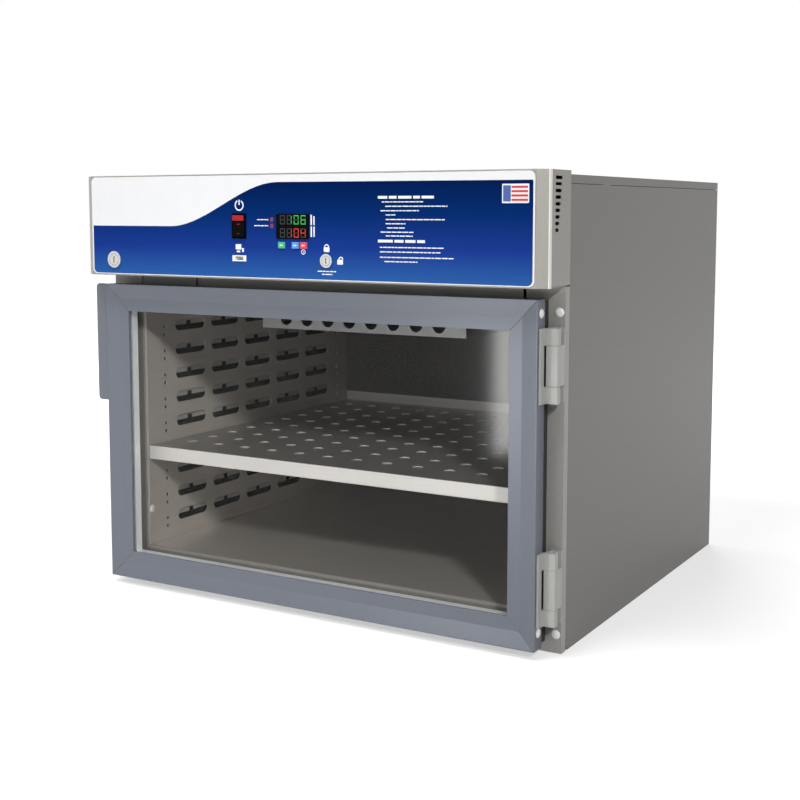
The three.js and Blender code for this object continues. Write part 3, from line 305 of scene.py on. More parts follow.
# Hole plugs: white plastic domes pushed into the spare hinge holes, so the door can hang on either side.
# Two sit on the stile, two on the door's edge and one just inside the chamber's left wall.
PLUG_PROFILE = ((0, 2.2), (2.4, 2.1), (4.6, 1.6), (5.8, 0.9), (6.3, 0.2), (6.3, 0), (0, 0))
PLUG_DROP = 18
STILE_PLUG_RISE = 14
STILE_PLUG_INSET = 8
DOOR_PLUG_RISE = 23
DOOR_PLUG_INSET = 12
WALL_PLUG_RISE = 56
WALL_PLUG_INSET = 6
white_plastic = surface("white_plastic", (0.83, 0.83, 0.81), 0.4, vary=0.03, scale=(200, 200, 200))
stile_low, stile_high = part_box("right_stile")
door_rail_low, door_rail_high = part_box("door_right_rail")
wall_low, wall_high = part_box("left_duct_panel")
stile_plugs = bmesh.new()
for z in (door_rail_high[2] - PLUG_DROP * MM, door_rail_low[2] + STILE_PLUG_RISE * MM):
    turned(stile_plugs, PLUG_PROFILE, (stile_high[0] - STILE_PLUG_INSET * MM, stile_low[1], z), (0, -1, 0))
piece("stile_plugs", stile_plugs, white_plastic, "cabinet", "white_plastic", smooth=True)
door_plugs = bmesh.new()
plug_y = door_rail_low[1] + DOOR_PLUG_INSET * MM
for z in (door_rail_high[2] - PLUG_DROP * MM, door_rail_low[2] + DOOR_PLUG_RISE * MM):
    turned(door_plugs, PLUG_PROFILE, (door_rail_high[0], plug_y, z), (1, 0, 0))
piece("door_plugs", door_plugs, white_plastic, "door", "white_plastic", smooth=True)
wall_plug = bmesh.new()
plug_y = wall_low[1] + WALL_PLUG_INSET * MM
turned(wall_plug, PLUG_PROFILE, (wall_high[0], plug_y, wall_low[2] + WALL_PLUG_RISE * MM), (1, 0, 0))
piece("wall_plug", wall_plug, white_plastic, "cabinet", "white_plastic", smooth=True)

# Duct panels: stainless walls of the chamber, punched with rows of long slots and pairs of clip holes.
# Each is one flat sheet with round-ended slots, and the heater tube stands behind it.
LINER_COLOUR = (0.64, 0.595, 0.54)
SLOT_COLUMNS = 5
SLOT_ROWS = 9
SLOT_FRONT = 106.5
SLOT_PITCH_Y = 91.5
SLOT_LOW = 33.7
SLOT_PITCH_Z = 38.6
SLOT_SIZE = (75, 18)
CLIP_PLACES = (43, 540)
CLIP_DROP = 12.6
CLIP_RADIUS = 3


def obround(a, b, length, height, steps=8):
    reach = (length - height) / 2
    loop = []
    for side in (1, -1):
        for i in range(steps + 1):
            angle = -math.pi / 2 + i * math.pi / steps + (0 if side > 0 else math.pi)
            loop.append((a + side * reach + height / 2 * math.cos(angle), b + height / 2 * math.sin(angle)))
    return loop


def circle(a, b, radius, steps=24):
    angles = (2 * math.pi * i / steps for i in range(steps))
    return [(a + radius * math.cos(t), b + radius * math.sin(t)) for t in angles]


def rectangle(a0, a1, b0, b1, radius=0.0, steps=4):
    if not radius:
        return [(a0, b0), (a1, b0), (a1, b1), (a0, b1)]
    loop = []
    corners = ((a1 - radius, b0 + radius), (a1 - radius, b1 - radius),
               (a0 + radius, b1 - radius), (a0 + radius, b0 + radius))
    for corner, (a, b) in enumerate(corners):
        for i in range(steps + 1):
            angle = (corner - 1) * math.pi / 2 + i * math.pi / 2 / steps
            loop.append((a + radius * math.cos(angle), b + radius * math.sin(angle)))
    return loop


PLANES = {
    "front": ((1, 0, 0), (0, 0, 1), (0, -1, 0)),
    "side": ((0, 1, 0), (0, 0, 1), (1, 0, 0)),
    "flat": ((1, 0, 0), (0, 1, 0), (0, 0, 1)),
}


def sheet(name, loops, thick, plane, origin, edge=0.0):
    """A bmesh of a flat sheet with holes: loops in mm on a plane, grown half its thickness each way."""
    curve = bpy.data.curves.new(name, "CURVE")
    curve.dimensions = "2D"
    curve.fill_mode = "BOTH"
    curve.extrude = (thick / 2 - edge) * MM
    curve.bevel_depth = edge * MM
    curve.bevel_resolution = 1
    curve.offset = -edge * MM
    for loop in loops:
        spline = curve.splines.new("POLY")
        spline.points.add(len(loop) - 1)
        for point, (a, b) in zip(spline.points, loop):
            point.co = (a * MM, b * MM, 0, 1)
        spline.use_cyclic_u = True
    draft = link(name, curve)
    mesh = bpy.data.meshes.new_from_object(draft.evaluated_get(bpy.context.evaluated_depsgraph_get()))
    bpy.data.objects.remove(draft)
    bpy.data.curves.remove(curve)
    axes = Matrix([Vector(axis) for axis in PLANES[plane]]).transposed().to_4x4()
    mesh.transform(Matrix.Translation(origin) @ axes)
    bm = bmesh.new()
    bm.from_mesh(mesh)
    bpy.data.meshes.remove(mesh)
    return bm


liner = surface("liner_steel", LINER_COLOUR, 0.36, metal=0.35, vary=0.04, scale=(6, 6, 260), bump=0.01)
for side in ("left", "right"):
    low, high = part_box(side + "_duct_panel")
    depth, rise = ((high[i] - low[i]) / MM for i in (1, 2))
    loops = [rectangle(0, depth, 0, rise)]
    for row in range(SLOT_ROWS):
        level = SLOT_LOW + row * SLOT_PITCH_Z
        for column in range(SLOT_COLUMNS):
            loops.append(obround(SLOT_FRONT + column * SLOT_PITCH_Y, level, *SLOT_SIZE))
        for a in CLIP_PLACES:
            loops.append(circle(a, level, CLIP_RADIUS, 12))
            loops.append(circle(a, level - CLIP_DROP, CLIP_RADIUS, 12))
    thick = (high[0] - low[0]) / MM
    made = sheet(side + "_duct", loops, thick, "side", ((low[0] + high[0]) / 2, low[1], low[2]), edge=0.25)
    piece(side + "_duct_sheet", made, liner, "cabinet", "liner_steel", side + "_duct_panel")

# Slot shade strips: near-black strips behind the duct panels, painted shade over the lower half of every
# slot.
# A tab stands up from the strip in the middle of each slot as a painted dark bar, and a pale sheet closes the
# duct behind them.
SHADE_STRIP_THICK = 1.2
SHADE_STRIP_SET_BACK = 2.0
SHADE_STRIP_DROP = 14
SHADE_STRIP_TOP = -0.5
SHADE_STRIP_OVERLAP = 5
TAB_HALF = 4.5
TAB_TOP = 5.5
BACKING_THICK = 0.8
BACKING_GAP = 0.3
BACKING_RISE = 20
start = SLOT_FRONT - SLOT_SIZE[0] / 2 - SHADE_STRIP_OVERLAP
end = SLOT_FRONT + (SLOT_COLUMNS - 1) * SLOT_PITCH_Y + SLOT_SIZE[0] / 2 + SHADE_STRIP_OVERLAP
top = SLOT_LOW + (SLOT_ROWS - 1) * SLOT_PITCH_Z + BACKING_RISE


def behind(side, gap):
    """A place that stands a gap in mm behind one duct panel, at the panel's lower front corner."""
    low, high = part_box(side + "_duct_panel")
    return (low[0] - gap * MM if side == "left" else high[0] + gap * MM, low[1], low[2])


# Near-black: painted shade for the lower half of each slot and the dark bar at its middle.
painted_slot_shade = surface("painted_slot_shade", (0.006, 0.006, 0.005), 0.6, vary=0.2, scale=(200, 200, 200),
                       sheen=0.04)
# The backing's grey, darker than the liner steel, is painted shade inside the duct.
backing = surface("shaded_duct_backing", (0.44, 0.42, 0.39), 0.5, vary=0.04, scale=(200, 10, 200), sheen=0.2)
for side in ("left", "right"):
    loops = []
    for row in range(SLOT_ROWS):
        level = SLOT_LOW + row * SLOT_PITCH_Z
        strip = [(start, level - SHADE_STRIP_DROP), (end, level - SHADE_STRIP_DROP), (end, level + SHADE_STRIP_TOP)]
        for column in reversed(range(SLOT_COLUMNS)):
            a = SLOT_FRONT + column * SLOT_PITCH_Y
            strip += [(a + TAB_HALF, level + SHADE_STRIP_TOP), (a + TAB_HALF, level + TAB_TOP),
                      (a - TAB_HALF, level + TAB_TOP), (a - TAB_HALF, level + SHADE_STRIP_TOP)]
        loops.append(strip + [(start, level + SHADE_STRIP_TOP)])
    gap = SHADE_STRIP_SET_BACK + SHADE_STRIP_THICK / 2
    made = sheet(side + "_shade_strips", loops, SHADE_STRIP_THICK, "side", behind(side, gap))
    piece(side + "_slot_shade_strips", made, painted_slot_shade, "cabinet", "dark_metal")
    loops = [rectangle(start, end, SLOT_LOW - BACKING_RISE, top)]
    gap = SHADE_STRIP_SET_BACK + SHADE_STRIP_THICK + BACKING_GAP + BACKING_THICK / 2
    made = sheet(side + "_backing", loops, BACKING_THICK, "side", behind(side, gap))
    piece(side + "_shaded_duct_backing", made, backing, "cabinet", "dark_metal")

# Liner and ducts: plain stainless floor, back and ceiling of the chamber, with wool packed round them.
# The tubes behind the slots are dark oxidised heater rods, and the probe is a bright steel finger.
floor_steel = surface("liner_floor_steel", (0.74, 0.705, 0.66), 0.22, metal=0.55, vary=0.04,
                      scale=(6, 240, 6), bump=0)
dress(floor_steel, "liner_floor", edge=0)
# The back and ceiling are the same stainless as the walls, given a near-black grey as painted shade of the
# deep chamber.
shaded_back_steel = surface("liner_back_painted_shade", (0.10, 0.097, 0.096), 0.4, metal=0.1, vary=0.06,
                     scale=(6, 6, 200), bump=0.01, sheen=0.12)
dress(shaded_back_steel, "liner_back", "liner_ceiling", edge=0)
wool = surface("foil_faced_wool", (0.16, 0.155, 0.145), 0.6, metal=0.2, vary=0.2,
               scale=(120, 120, 120), bump=0.5)
dress(wool, "insulation_jacket", edge=0)
rod_metal = surface("heater_rod", (0.018, 0.017, 0.016), 0.5, metal=0.3, vary=0.25,
                    scale=(200, 200, 200), bump=0.2)
dress(rod_metal, "left_heater", "right_heater", edge=0)
dress(bright, "temperature_probe", edge=0)

# Air plenum: a shallow stainless box under the ceiling, whose front has a row of round outlet holes.
# The face and the floor are punched sheets, and the floor opens under the fan.
PLENUM_COLOUR = (0.24, 0.246, 0.252)
PLENUM_HOLES = 8
PLENUM_PITCH = 38.6
PLENUM_HOLE_RADIUS = 10.5
PLENUM_HOLE_DROP = 17.2
PLENUM_SHEET = 1.5
FAN_INTAKE = 55


def blocks(boxes, edge=0.0, segments=2):
    """A bmesh of boxes, each given as low and high corners in metres, with rounded edges."""
    bm = bmesh.new()
    for low, high in boxes:
        low, high = Vector(low), Vector(high)
        made = bmesh.ops.create_cube(bm, size=1)
        size = high - low
        bmesh.ops.transform(bm, verts=made["verts"],
                            matrix=Matrix.Translation((low + high) / 2) @ Matrix.Diagonal((*size, 1)))
        if edge:
            edges = list({e for v in made["verts"] for e in v.link_edges})
            bmesh.ops.bevel(bm, geom=edges, offset=edge * MM, segments=segments, profile=0.5,
                            affect="EDGES", material=-1)
    return bm


plenum_steel = surface("plenum_steel", PLENUM_COLOUR, 0.4, metal=0.4, vary=0.04, scale=(6, 6, 260), bump=0.02)
low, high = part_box("air_plenum")
half = (high[0] - low[0]) / 2 / MM
tall = (high[2] - low[2]) / MM
loops = [rectangle(-half, half, 0, tall)]
for i in range(PLENUM_HOLES):
    across = (i - (PLENUM_HOLES - 1) / 2) * PLENUM_PITCH
    loops.append(circle(across, tall - PLENUM_HOLE_DROP, PLENUM_HOLE_RADIUS, 32))
face_y = low[1] + PLENUM_SHEET / 2 * MM
made = sheet("face", loops, PLENUM_SHEET, "front", (0, face_y, low[2]), edge=0.3)
piece("plenum_face", made, plenum_steel, "cabinet", "liner_steel", "air_plenum")
long = (high[1] - low[1]) / MM
loops = [rectangle(-half, half, PLENUM_SHEET, long), circle(0, long / 2, FAN_INTAKE, 48)]
made = sheet("floor", loops, PLENUM_SHEET, "flat", (0, low[1], low[2] + PLENUM_SHEET / 2 * MM), edge=0.2)
piece("plenum_floor", made, plenum_steel, "cabinet", "liner_steel", "air_plenum")
wall = PLENUM_SHEET * MM
made = blocks((
    ((low[0], low[1] + wall, low[2] + wall), (low[0] + wall, high[1], high[2])),
    ((high[0] - wall, low[1] + wall, low[2] + wall), (high[0], high[1], high[2])),
    ((low[0] + wall, high[1] - wall, low[2] + wall), (high[0] - wall, high[1], high[2])),
), edge=0.2)
piece("plenum_walls", made, plenum_steel, "cabinet", "liner_steel", "air_plenum")

# Circulation fan: a black motor on the insulation, with its galvanised wheel hanging in the plenum.
# The CAD wheel, hub, blades and motor are kept.
motor_paint = surface("motor_paint", (0.03, 0.03, 0.032), 0.5, vary=0.15, scale=(250, 250, 250), bump=0.1)
dress(motor_paint, "fan_motor", edge=0)
dress(bright, "fan_impeller", edge=0)

# Shelf: a perforated stainless deck with a bright folded lip in front and a low stop behind.
# Every hole is drawn down into a short collar, and the deck lies loose on two angle rails.
SHELF_HOLE_RADIUS = 8.5
SHELF_PITCH = 51.5
SHELF_FIRST_ROW = 59.2
SHELF_MARGIN = 22
COLLAR_DROP = 2
COLLAR_WALL = 0.7
COLLAR_STEPS = 20
COLLAR_BORE = SHELF_HOLE_RADIUS - COLLAR_WALL
low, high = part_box("shelf_deck")
half = (high[0] - low[0]) / 2 / MM
long = (high[1] - low[1]) / MM
thick = (high[2] - low[2]) / MM
columns = math.floor(2 * (half - SHELF_MARGIN) / SHELF_PITCH) + 1
rows = math.ceil((long - SHELF_MARGIN - SHELF_FIRST_ROW) / SHELF_PITCH)
holes = [((i - (columns - 1) / 2) * SHELF_PITCH, SHELF_FIRST_ROW + row * SHELF_PITCH)
         for row in range(rows) for i in range(columns)]
loops = [rectangle(-half, half, 0, long)]
loops += [circle(a, b, SHELF_HOLE_RADIUS, COLLAR_STEPS) for a, b in holes]
deck_steel = surface("deck_steel", (0.36, 0.348, 0.33), 0.3, metal=0.45, vary=0.04, scale=(6, 260, 6), bump=0)
made = sheet("deck", loops, thick, "flat", (0, low[1], (low[2] + high[2]) / 2), edge=0.2)
piece("shelf_deck_sheet", made, deck_steel, "shelf", "shelf_steel", "shelf_deck")
collar = ((COLLAR_BORE, -COLLAR_DROP), (SHELF_HOLE_RADIUS, -COLLAR_DROP), (SHELF_HOLE_RADIUS, 0),
          (COLLAR_BORE, 0), (COLLAR_BORE, -COLLAR_DROP))
collars = bmesh.new()
for a, b in holes:
    turned(collars, collar, (a * MM, low[1] + b * MM, high[2]), (0, 0, 1), COLLAR_STEPS)
# The lip and stop take a much paler copy of the deck steel, as painted light on their front-facing folds.
lip_lit_steel = surface("lip_lit_steel", (0.8, 0.78, 0.755), 0.4, metal=0.15, vary=0.03,
                    scale=(5, 300, 300), bump=0.02)
dress(lip_lit_steel, "shelf_front_lip", "shelf_rear_stop", edge=0.6)
piece("shelf_hole_collars", collars, liner, "shelf", "shelf_steel", "shelf_deck", smooth=True)
dress(liner, "left_shelf_rail", "right_shelf_rail", edge=0.3)

# Header box: painted warm grey metal with chamfered ends, a hood with side vents and a floor.
# The CAD folds are kept, with small rounded edges, and a pale strip at each end of the fascia paints the
# highlight on its bend.
header_paint = surface("header_paint", (0.31, 0.296, 0.27), 0.42, metal=0.35, vary=0.03,
                       scale=(300, 300, 300))
dress(header_paint, "header_fascia", edge=0.5)
# The hood and floor take a darker copy of the header paint, as painted shade.
shaded_hood_paint = surface("shaded_hood_paint", (0.27, 0.258, 0.236), 0.42, metal=0.25, vary=0.03, scale=(300, 300, 300))
dress(shaded_hood_paint, "header_hood", "header_floor", edge=0.5)
BEND = ((-0.7, -0.7), (0.4, 0), (0.4, 6), (0, 8), (-0.6, 4))
low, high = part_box("header_fascia")
tall = (high[2] - low[2]) / MM
corner = (0, high[1], (low[2] + high[2]) / 2)
half = high[0] / MM
bends = [[(half + a, b) for a, b in BEND], [(-half - a, b) for a, b in reversed(BEND)]]
# The strips' pale colour is a painted highlight on the rounded bend between the chamfer and the hood side.
bend_highlight = surface("bend_highlight", (0.84, 0.82, 0.78), 0.35, vary=0.02, scale=(200, 200, 20), bump=0.01)
piece("fascia_bend_highlights", sheet("bends", bends, tall, "flat", corner), bend_highlight, "cabinet", "bright_metal")

# Overlay: a printed film over the whole front of the header, white with a blue field.
# The blue sweeps up in an S from the left, deep navy above and lighter below, on a second thin film.
HEADER_FOOT = 2
FILM = 0.12
BORDER = 2.5
FOOT_BORDER = 1.2
SWEEP_LOW = 74
SWEEP_HIGH = 135.8
SWEEP_START = -213
SWEEP_END = -22
SWEEP_STEPS = 24
BAND_END = 134.6
FIELD_CORNER = 6
CORNER_CUT = 2
BLUE_STOPS = ((0.0, (0.024, 0.103, 0.345)), (0.3, (0.009, 0.037, 0.245)), (0.62, (0.0012, 0.022, 0.135)),
              (1.0, (0.0001, 0.0075, 0.056)))
# Cut-outs as X and the rise over the header's underside, with width and height, in mm
ROCKER = (-88.5, 75, 25.6, 35.6)
DISPLAY = (3, 75, 54.6, 34.6)
SOCKET = (-88.5, 29.5, 24.6, 9.1)
KEYS = ((-15, 49, 12.1, 9.6), (8, 49, 12.1, 9.6), (21.5, 49, 12.1, 9.6))
KEY_SWITCH = (58.6, 28.8, 8.4)
LOCK = (-322, 23.5, 10.8)
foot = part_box("header_fascia")[0][2]
film_low, film_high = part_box("control_overlay")
film_half = (film_high[0] - film_low[0]) / 2 / MM
film_top = (film_high[2] - foot) / MM


def control_cuts():
    cuts = []
    for x, z, w, h in (ROCKER, DISPLAY, SOCKET, *KEYS):
        cuts.append(rectangle(x - w / 2, x + w / 2, z - h / 2, z + h / 2))
    return cuts + [circle(*KEY_SWITCH, 32), circle(*LOCK, 32)]


white_film = surface("white_film", (0.79, 0.795, 0.805), 0.3, vary=0.01, scale=(40, 40, 40), bump=0.01)
film_back = film_high[1]
film_thick = (film_high[1] - film_low[1]) / MM - FILM
loops = [rectangle(-film_half, film_half, HEADER_FOOT, film_top, 8)] + control_cuts()
made = sheet("film", loops, film_thick, "front", (0, film_back - film_thick / 2 * MM, foot))
piece("overlay_base", made, white_film, "cabinet", "overlay", "control_overlay")

blue_film = surface("blue_film", (0.02, 0.06, 0.3), 0.4, vary=0.02, scale=(60, 60, 60), bump=0.01, sheen=0.02)
film_nodes = blue_film.node_tree.nodes
film_links = blue_film.node_tree.links
film_nodes.remove(film_nodes["Color Ramp"])
split = film_nodes.new("ShaderNodeSeparateXYZ")
height = film_nodes.new("ShaderNodeMapRange")
height.inputs["From Min"].default_value = film_low[2]
height.inputs["From Max"].default_value = film_high[2]
shade = film_nodes.new("ShaderNodeValToRGB")
stops = shade.color_ramp.elements
for place, _ in BLUE_STOPS[1:-1]:
    stops.new(place)
for stop, (_, colour) in zip(stops, BLUE_STOPS):
    stop.color = (*colour, 1)
film_links.new(film_nodes["Texture Coordinate"].outputs["Object"], split.inputs[0])
film_links.new(split.outputs["Z"], height.inputs["Value"])
film_links.new(height.outputs["Result"], shade.inputs["Fac"])
film_links.new(shade.outputs["Color"], film_nodes["Principled BSDF"].inputs["Base Color"])

inner = film_half - BORDER
bottom = HEADER_FOOT + FOOT_BORDER
field = [(-inner, bottom + FIELD_CORNER), (-inner + CORNER_CUT, bottom + CORNER_CUT),
         (-inner + FIELD_CORNER, bottom), (inner - FIELD_CORNER, bottom),
         (inner - CORNER_CUT, bottom + CORNER_CUT), (inner, bottom + FIELD_CORNER),
         (inner, BAND_END - CORNER_CUT / 2), (inner - CORNER_CUT / 2, BAND_END)]
for i in range(SWEEP_STEPS + 1):
    t = 1 - i / SWEEP_STEPS
    rise = t * t * (3 - 2 * t)
    field.append((SWEEP_START + t * (SWEEP_END - SWEEP_START), SWEEP_LOW + rise * (SWEEP_HIGH - SWEEP_LOW)))
field.append((-inner, SWEEP_LOW))
film_front = film_back - film_thick * MM
made = sheet("field", [field] + control_cuts(), FILM, "front", (0, film_front - FILM / 2 * MM, foot))
piece("overlay_field", made, blue_film, "cabinet", "overlay", "control_overlay")

# Legends: white print on the blue film, with plain bars in the place of words.
# Power sign, padlocks and a memory card are flat shapes, and the bars stand in lines like short words.
INK = 0.06
random.seed(7)
HEAD = 3.6
TEXT = 1.4
LINES = ((140, 114, 88, HEAD), (146, 108, 63, TEXT), (151, 102.3, 93, TEXT), (144, 96.5, 58, TEXT),
         (152, 91, 15, TEXT), (152, 85, 90, TEXT), (152, 79.5, 30, TEXT), (154, 74, 29, TEXT),
         (144, 68.5, 50, TEXT), (152, 63.5, 41, TEXT), (140, 56.7, 71, HEAD), (143, 48.5, 96, TEXT),
         (143, 42.5, 92, TEXT), (143, 35.4, 110, TEXT), (150, 29.8, 50, TEXT), (-57, 84, 19, TEXT),
         (-62, 75.6, 24, TEXT), (44, 14.5, 30, TEXT), (51, 10.5, 17, TEXT))
UPRIGHTS = ((34, 61, 14, 2.4), (34, 77, 14, 2.4), (38.5, 61, 14, 2.0), (38.5, 77, 12, 2.0))


def arc(a, b, outer, inner_radius, start, end, steps=20):
    turns = [math.radians(start + (end - start) * i / steps) for i in range(steps + 1)]
    rim = [(a + outer * math.cos(t), b + outer * math.sin(t)) for t in turns]
    return rim + [(a + inner_radius * math.cos(t), b + inner_radius * math.sin(t)) for t in reversed(turns)]


def padlock(a, b, lean):
    body = rectangle(a - 4.6, a + 4.6, b - 4.4, b + 2.2, 0.8)
    shackle = arc(a + lean, b + 2.4, 3.8, 2.3, 0, 180)
    return [body, shackle, rectangle(a + lean - 3.8, a + lean - 2.3, b + 2.25, b + 2.39)]


marks = []
for start, level, length, thick in LINES:
    a = start
    while a < start + length:
        word = min(random.uniform(3.5, 10) * thick / TEXT, start + length - a)
        if word > 1.5:
            marks.append(rectangle(a, a + word, level - thick / 2, level + thick / 2))
        a += word + 0.7 * thick
for a, start, length, thick in UPRIGHTS:
    marks.append(rectangle(a - thick / 2, a + thick / 2, start, start + length))
marks += [arc(-88, 104, 7.8, 5.9, 118, 422), rectangle(-89, -87, 104.5, 111.8)]
marks += padlock(58.8, 45.2, 0) + padlock(80.4, 28.6, 1.2)
marks += [rectangle(-95, -85, 42, 49.5, 1), rectangle(-84, -80.5, 38.5, 44, 0.8)]
marks += [rectangle(-93, -87, 38, 40.5)]
marks += [circle(20.5, 40.2, 3.6), circle(20.5, 40.2, 2.5), rectangle(20.1, 20.9, 38.6, 41.8)]
ink = surface("white_ink", (0.82, 0.83, 0.85), 0.4, vary=0.02, scale=(300, 300, 300), bump=0)
ink_front = film_front - FILM * MM
made = sheet("marks", marks, INK, "front", (0, ink_front - INK / 2 * MM, foot))
piece("white_legends", made, ink, "cabinet", "overlay")

# Sticker: a small printed label at the right end, white with plain red stripes and a blue band.
# Three thin films lie on one another.
STICKER = (321, 358, 106, 130)
STRIPES = 4
STRIPE_START = 13
STRIPE_MARGIN = 1.5
BAND_END_X = 12
BAND_MARGIN = 2
x0, x1, z0, z1 = STICKER
made = sheet("sticker", [rectangle(x0, x1, z0, z1, 1)], INK, "front", (0, ink_front - INK / 2 * MM, foot))
piece("sticker_base", made, white_film, "cabinet", "overlay")
band = (z1 - z0) / (2 * STRIPES + 1)
bars = []
for i in range(STRIPES):
    level = z0 + (2 * i + 1) * band
    bars.append(rectangle(x0 + STRIPE_START, x1 - STRIPE_MARGIN, level, level + band))
red_ink = surface("red_ink", (0.60, 0.03, 0.045), 0.4, vary=0.05, scale=(300, 300, 300), bump=0)
made = sheet("stripes", bars, INK, "front", (0, ink_front - 1.5 * INK * MM, foot))
piece("sticker_stripes", made, red_ink, "cabinet", "overlay")
blue_ink = surface("blue_ink", (0.05, 0.10, 0.32), 0.4, vary=0.05, scale=(300, 300, 300), bump=0)
loops = [rectangle(x0 + STRIPE_MARGIN, x0 + BAND_END_X, z0 + BAND_MARGIN, z1 - BAND_MARGIN)]
made = sheet("band", loops, INK, "front", (0, ink_front - 1.5 * INK * MM, foot))
piece("sticker_band", made, blue_ink, "cabinet", "overlay")

# Power switch: a black rocker in a black housing, with a red lens along the top of the rocker.
# The rocker is an extruded profile, dished towards its middle, and two red marks are set into it.
black = surface("black_plastic", (0.003, 0.003, 0.0033), 0.45, vary=0.15,
                scale=(500, 500, 500), bump=0.1, sheen=0.02)
dress(black, "switch_housing", edge=0.4)
DISH = 1.9
LENS_SHARE = 0.74
LENS_INSET = 0.4
LENS_DROP = 0.2
LENS_PROUD = 0.25
LENS_DEEP = 1.6
MARK_SIZE = (0.8, 1)
low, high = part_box("power_rocker")
tall = (high[2] - low[2]) / MM
deep = (high[1] - low[1]) / MM
profile = [(0, 0), (2 * DISH, 0), (deep, tall / 4), (deep, 3 * tall / 4), (2 * DISH, tall), (0, tall),
           (DISH, tall / 2)]
wide = (high[0] - low[0]) / MM
made = sheet("rocker", [profile], wide, "side", ((low[0] + high[0]) / 2, low[1], low[2]), edge=0.4)
piece("rocker_body", made, black, "rocker", "black_plastic", "power_rocker")
lens = surface("red_lens", (0.36, 0.014, 0.024), 0.35, vary=0.08, scale=(300, 300, 300), glow=0.05, sheen=0.2)
lens_low = (low[0] + LENS_INSET * MM, low[1] - LENS_PROUD * MM, low[2] + LENS_SHARE * tall * MM)
lens_high = (high[0] - LENS_INSET * MM, low[1] + LENS_DEEP * MM, high[2] - LENS_DROP * MM)
made = blocks(((lens_low, lens_high),), edge=0.5)
piece("rocker_lens", made, lens, "rocker", "red_plastic", "power_rocker")
x = (low[0] + high[0]) / 2
boxes = []
for half, set_in, rise in ((2.5, 1.1, tall / 2 + 2), (1.8, 0.5, 4)):
    y, z = low[1] + set_in * MM, low[2] + rise * MM
    boxes.append(((x - half * MM, y, z), (x + half * MM, y + MARK_SIZE[0] * MM, z + MARK_SIZE[1] * MM)))
piece("rocker_marks", blocks(boxes, edge=0.2), lens, "rocker", "red_plastic", "power_rocker")

# Temperature controller: a glossy black window with two rows of seven-segment figures behind it.
# The upper figures are green and the lower red, and unlit segments are dark grey.
window_black = surface("window_black", (0.003, 0.003, 0.0035), 0.12, vary=0.1,
                       scale=(40, 40, 40), bump=0.01, sheen=0.03)
dress(window_black, "controller_module", edge=0.5)
SEGMENTS = {"0": "abcdef", "1": "bc", "4": "fgbc", "6": "afgedc", " ": ""}
DIGIT = (8.2, 12.5)
BAR = 1.3
SEGMENT_GAP = (0.2, 0.9)
DIGIT_PITCH = 11.5
DIGIT_START = -17.2
ROWS = (("upper", 84, " 106", (0.02, 0.42, 0.09)), ("lower", 66, " 104", (0.62, 0.02, 0.02)))
window_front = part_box("controller_module")[0][1]


def figure(text, level):
    lit, unlit = [], []
    w, h = DIGIT
    for place, sign in enumerate(text):
        a = DIGIT_START + place * DIGIT_PITCH
        near, far = SEGMENT_GAP[1], h / 2 - BAR - SEGMENT_GAP[0]
        cells = {
            "a": (a, a + w, h / 2 - BAR, h / 2), "d": (a, a + w, -h / 2, BAR - h / 2),
            "g": (a, a + w, -BAR / 2, BAR / 2),
            "f": (a, a + BAR, near, far), "b": (a + w - BAR, a + w, near, far),
            "e": (a, a + BAR, -far, -near), "c": (a + w - BAR, a + w, -far, -near),
        }
        for key, (a0, a1, b0, b1) in cells.items():
            cell = rectangle(a0, a1, level + b0, level + b1, 0.3, 2)
            (lit if key in SEGMENTS[sign] else unlit).append(cell)
    return lit, unlit


dim = surface("unlit_segments", (0.012, 0.013, 0.013), 0.3, vary=0.1, scale=(300, 300, 300), bump=0)
dark_cells = []
for row_name, level, text, colour in ROWS:
    lit, unlit = figure(text, level)
    dark_cells += unlit
    glow = surface(row_name + "_segments", colour, 0.3, vary=0.06, scale=(300, 300, 300), bump=0, glow=0.1)
    made = sheet(row_name, lit, INK, "front", (0, window_front - INK / 2 * MM, foot))
    piece(row_name + "_figures", made, glow, "cabinet", "black_plastic")
made = sheet("unlit", dark_cells, INK, "front", (0, window_front - INK / 2 * MM, foot))
piece("unlit_figures", made, dim, "cabinet", "black_plastic")
ALARM_X = (-34.5, -29.5)
ALARM_LEVELS = (84.2, 75.4)
ALARM_HALF = 3
alarm = surface("alarm_lamps", (0.2, 0.02, 0.05), 0.3, vary=0.08, scale=(300, 300, 300), bump=0)
loops = [rectangle(*ALARM_X, z - ALARM_HALF, z + ALARM_HALF, 0.6) for z in ALARM_LEVELS]
made = sheet("lamps", loops, INK, "front", (0, ink_front - INK / 2 * MM, foot))
piece("alarm_lamps", made, alarm, "cabinet", "overlay")

# Keys: three small moulded buttons under the window, green, blue and red, each with a white dash.
# Each presses straight in on its own slide.
KEY_COLOURS = {"green": (0.05, 0.42, 0.24), "blue": (0.10, 0.30, 0.72), "red": (0.66, 0.06, 0.10)}
DASH_HALF = (2.6, 0.8)
DASH_DEEP = 0.2
for ink_name, colour in KEY_COLOURS.items():
    low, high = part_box(ink_name + "_button")
    plastic = surface(ink_name + "_key", colour, 0.4, vary=0.05, scale=(300, 300, 300))
    slot_name = "red_key_plastic" if ink_name == "red" else ink_name + "_plastic"
    made = blocks(((low, high),), edge=0.9, segments=3)
    piece(ink_name + "_key_cap", made, plastic, ink_name + "_key", slot_name, ink_name + "_button")
    x, z = (low[0] + high[0]) / 2, (low[2] + high[2]) / 2
    dash = ((x - DASH_HALF[0] * MM, low[1] - INK * MM, z - DASH_HALF[1] * MM),
            (x + DASH_HALF[0] * MM, low[1] + DASH_DEEP * MM, z + DASH_HALF[1] * MM))
    made = blocks((dash,), edge=0.05)
    piece(ink_name + "_key_dash", made, ink, ink_name + "_key", slot_name, ink_name + "_button")

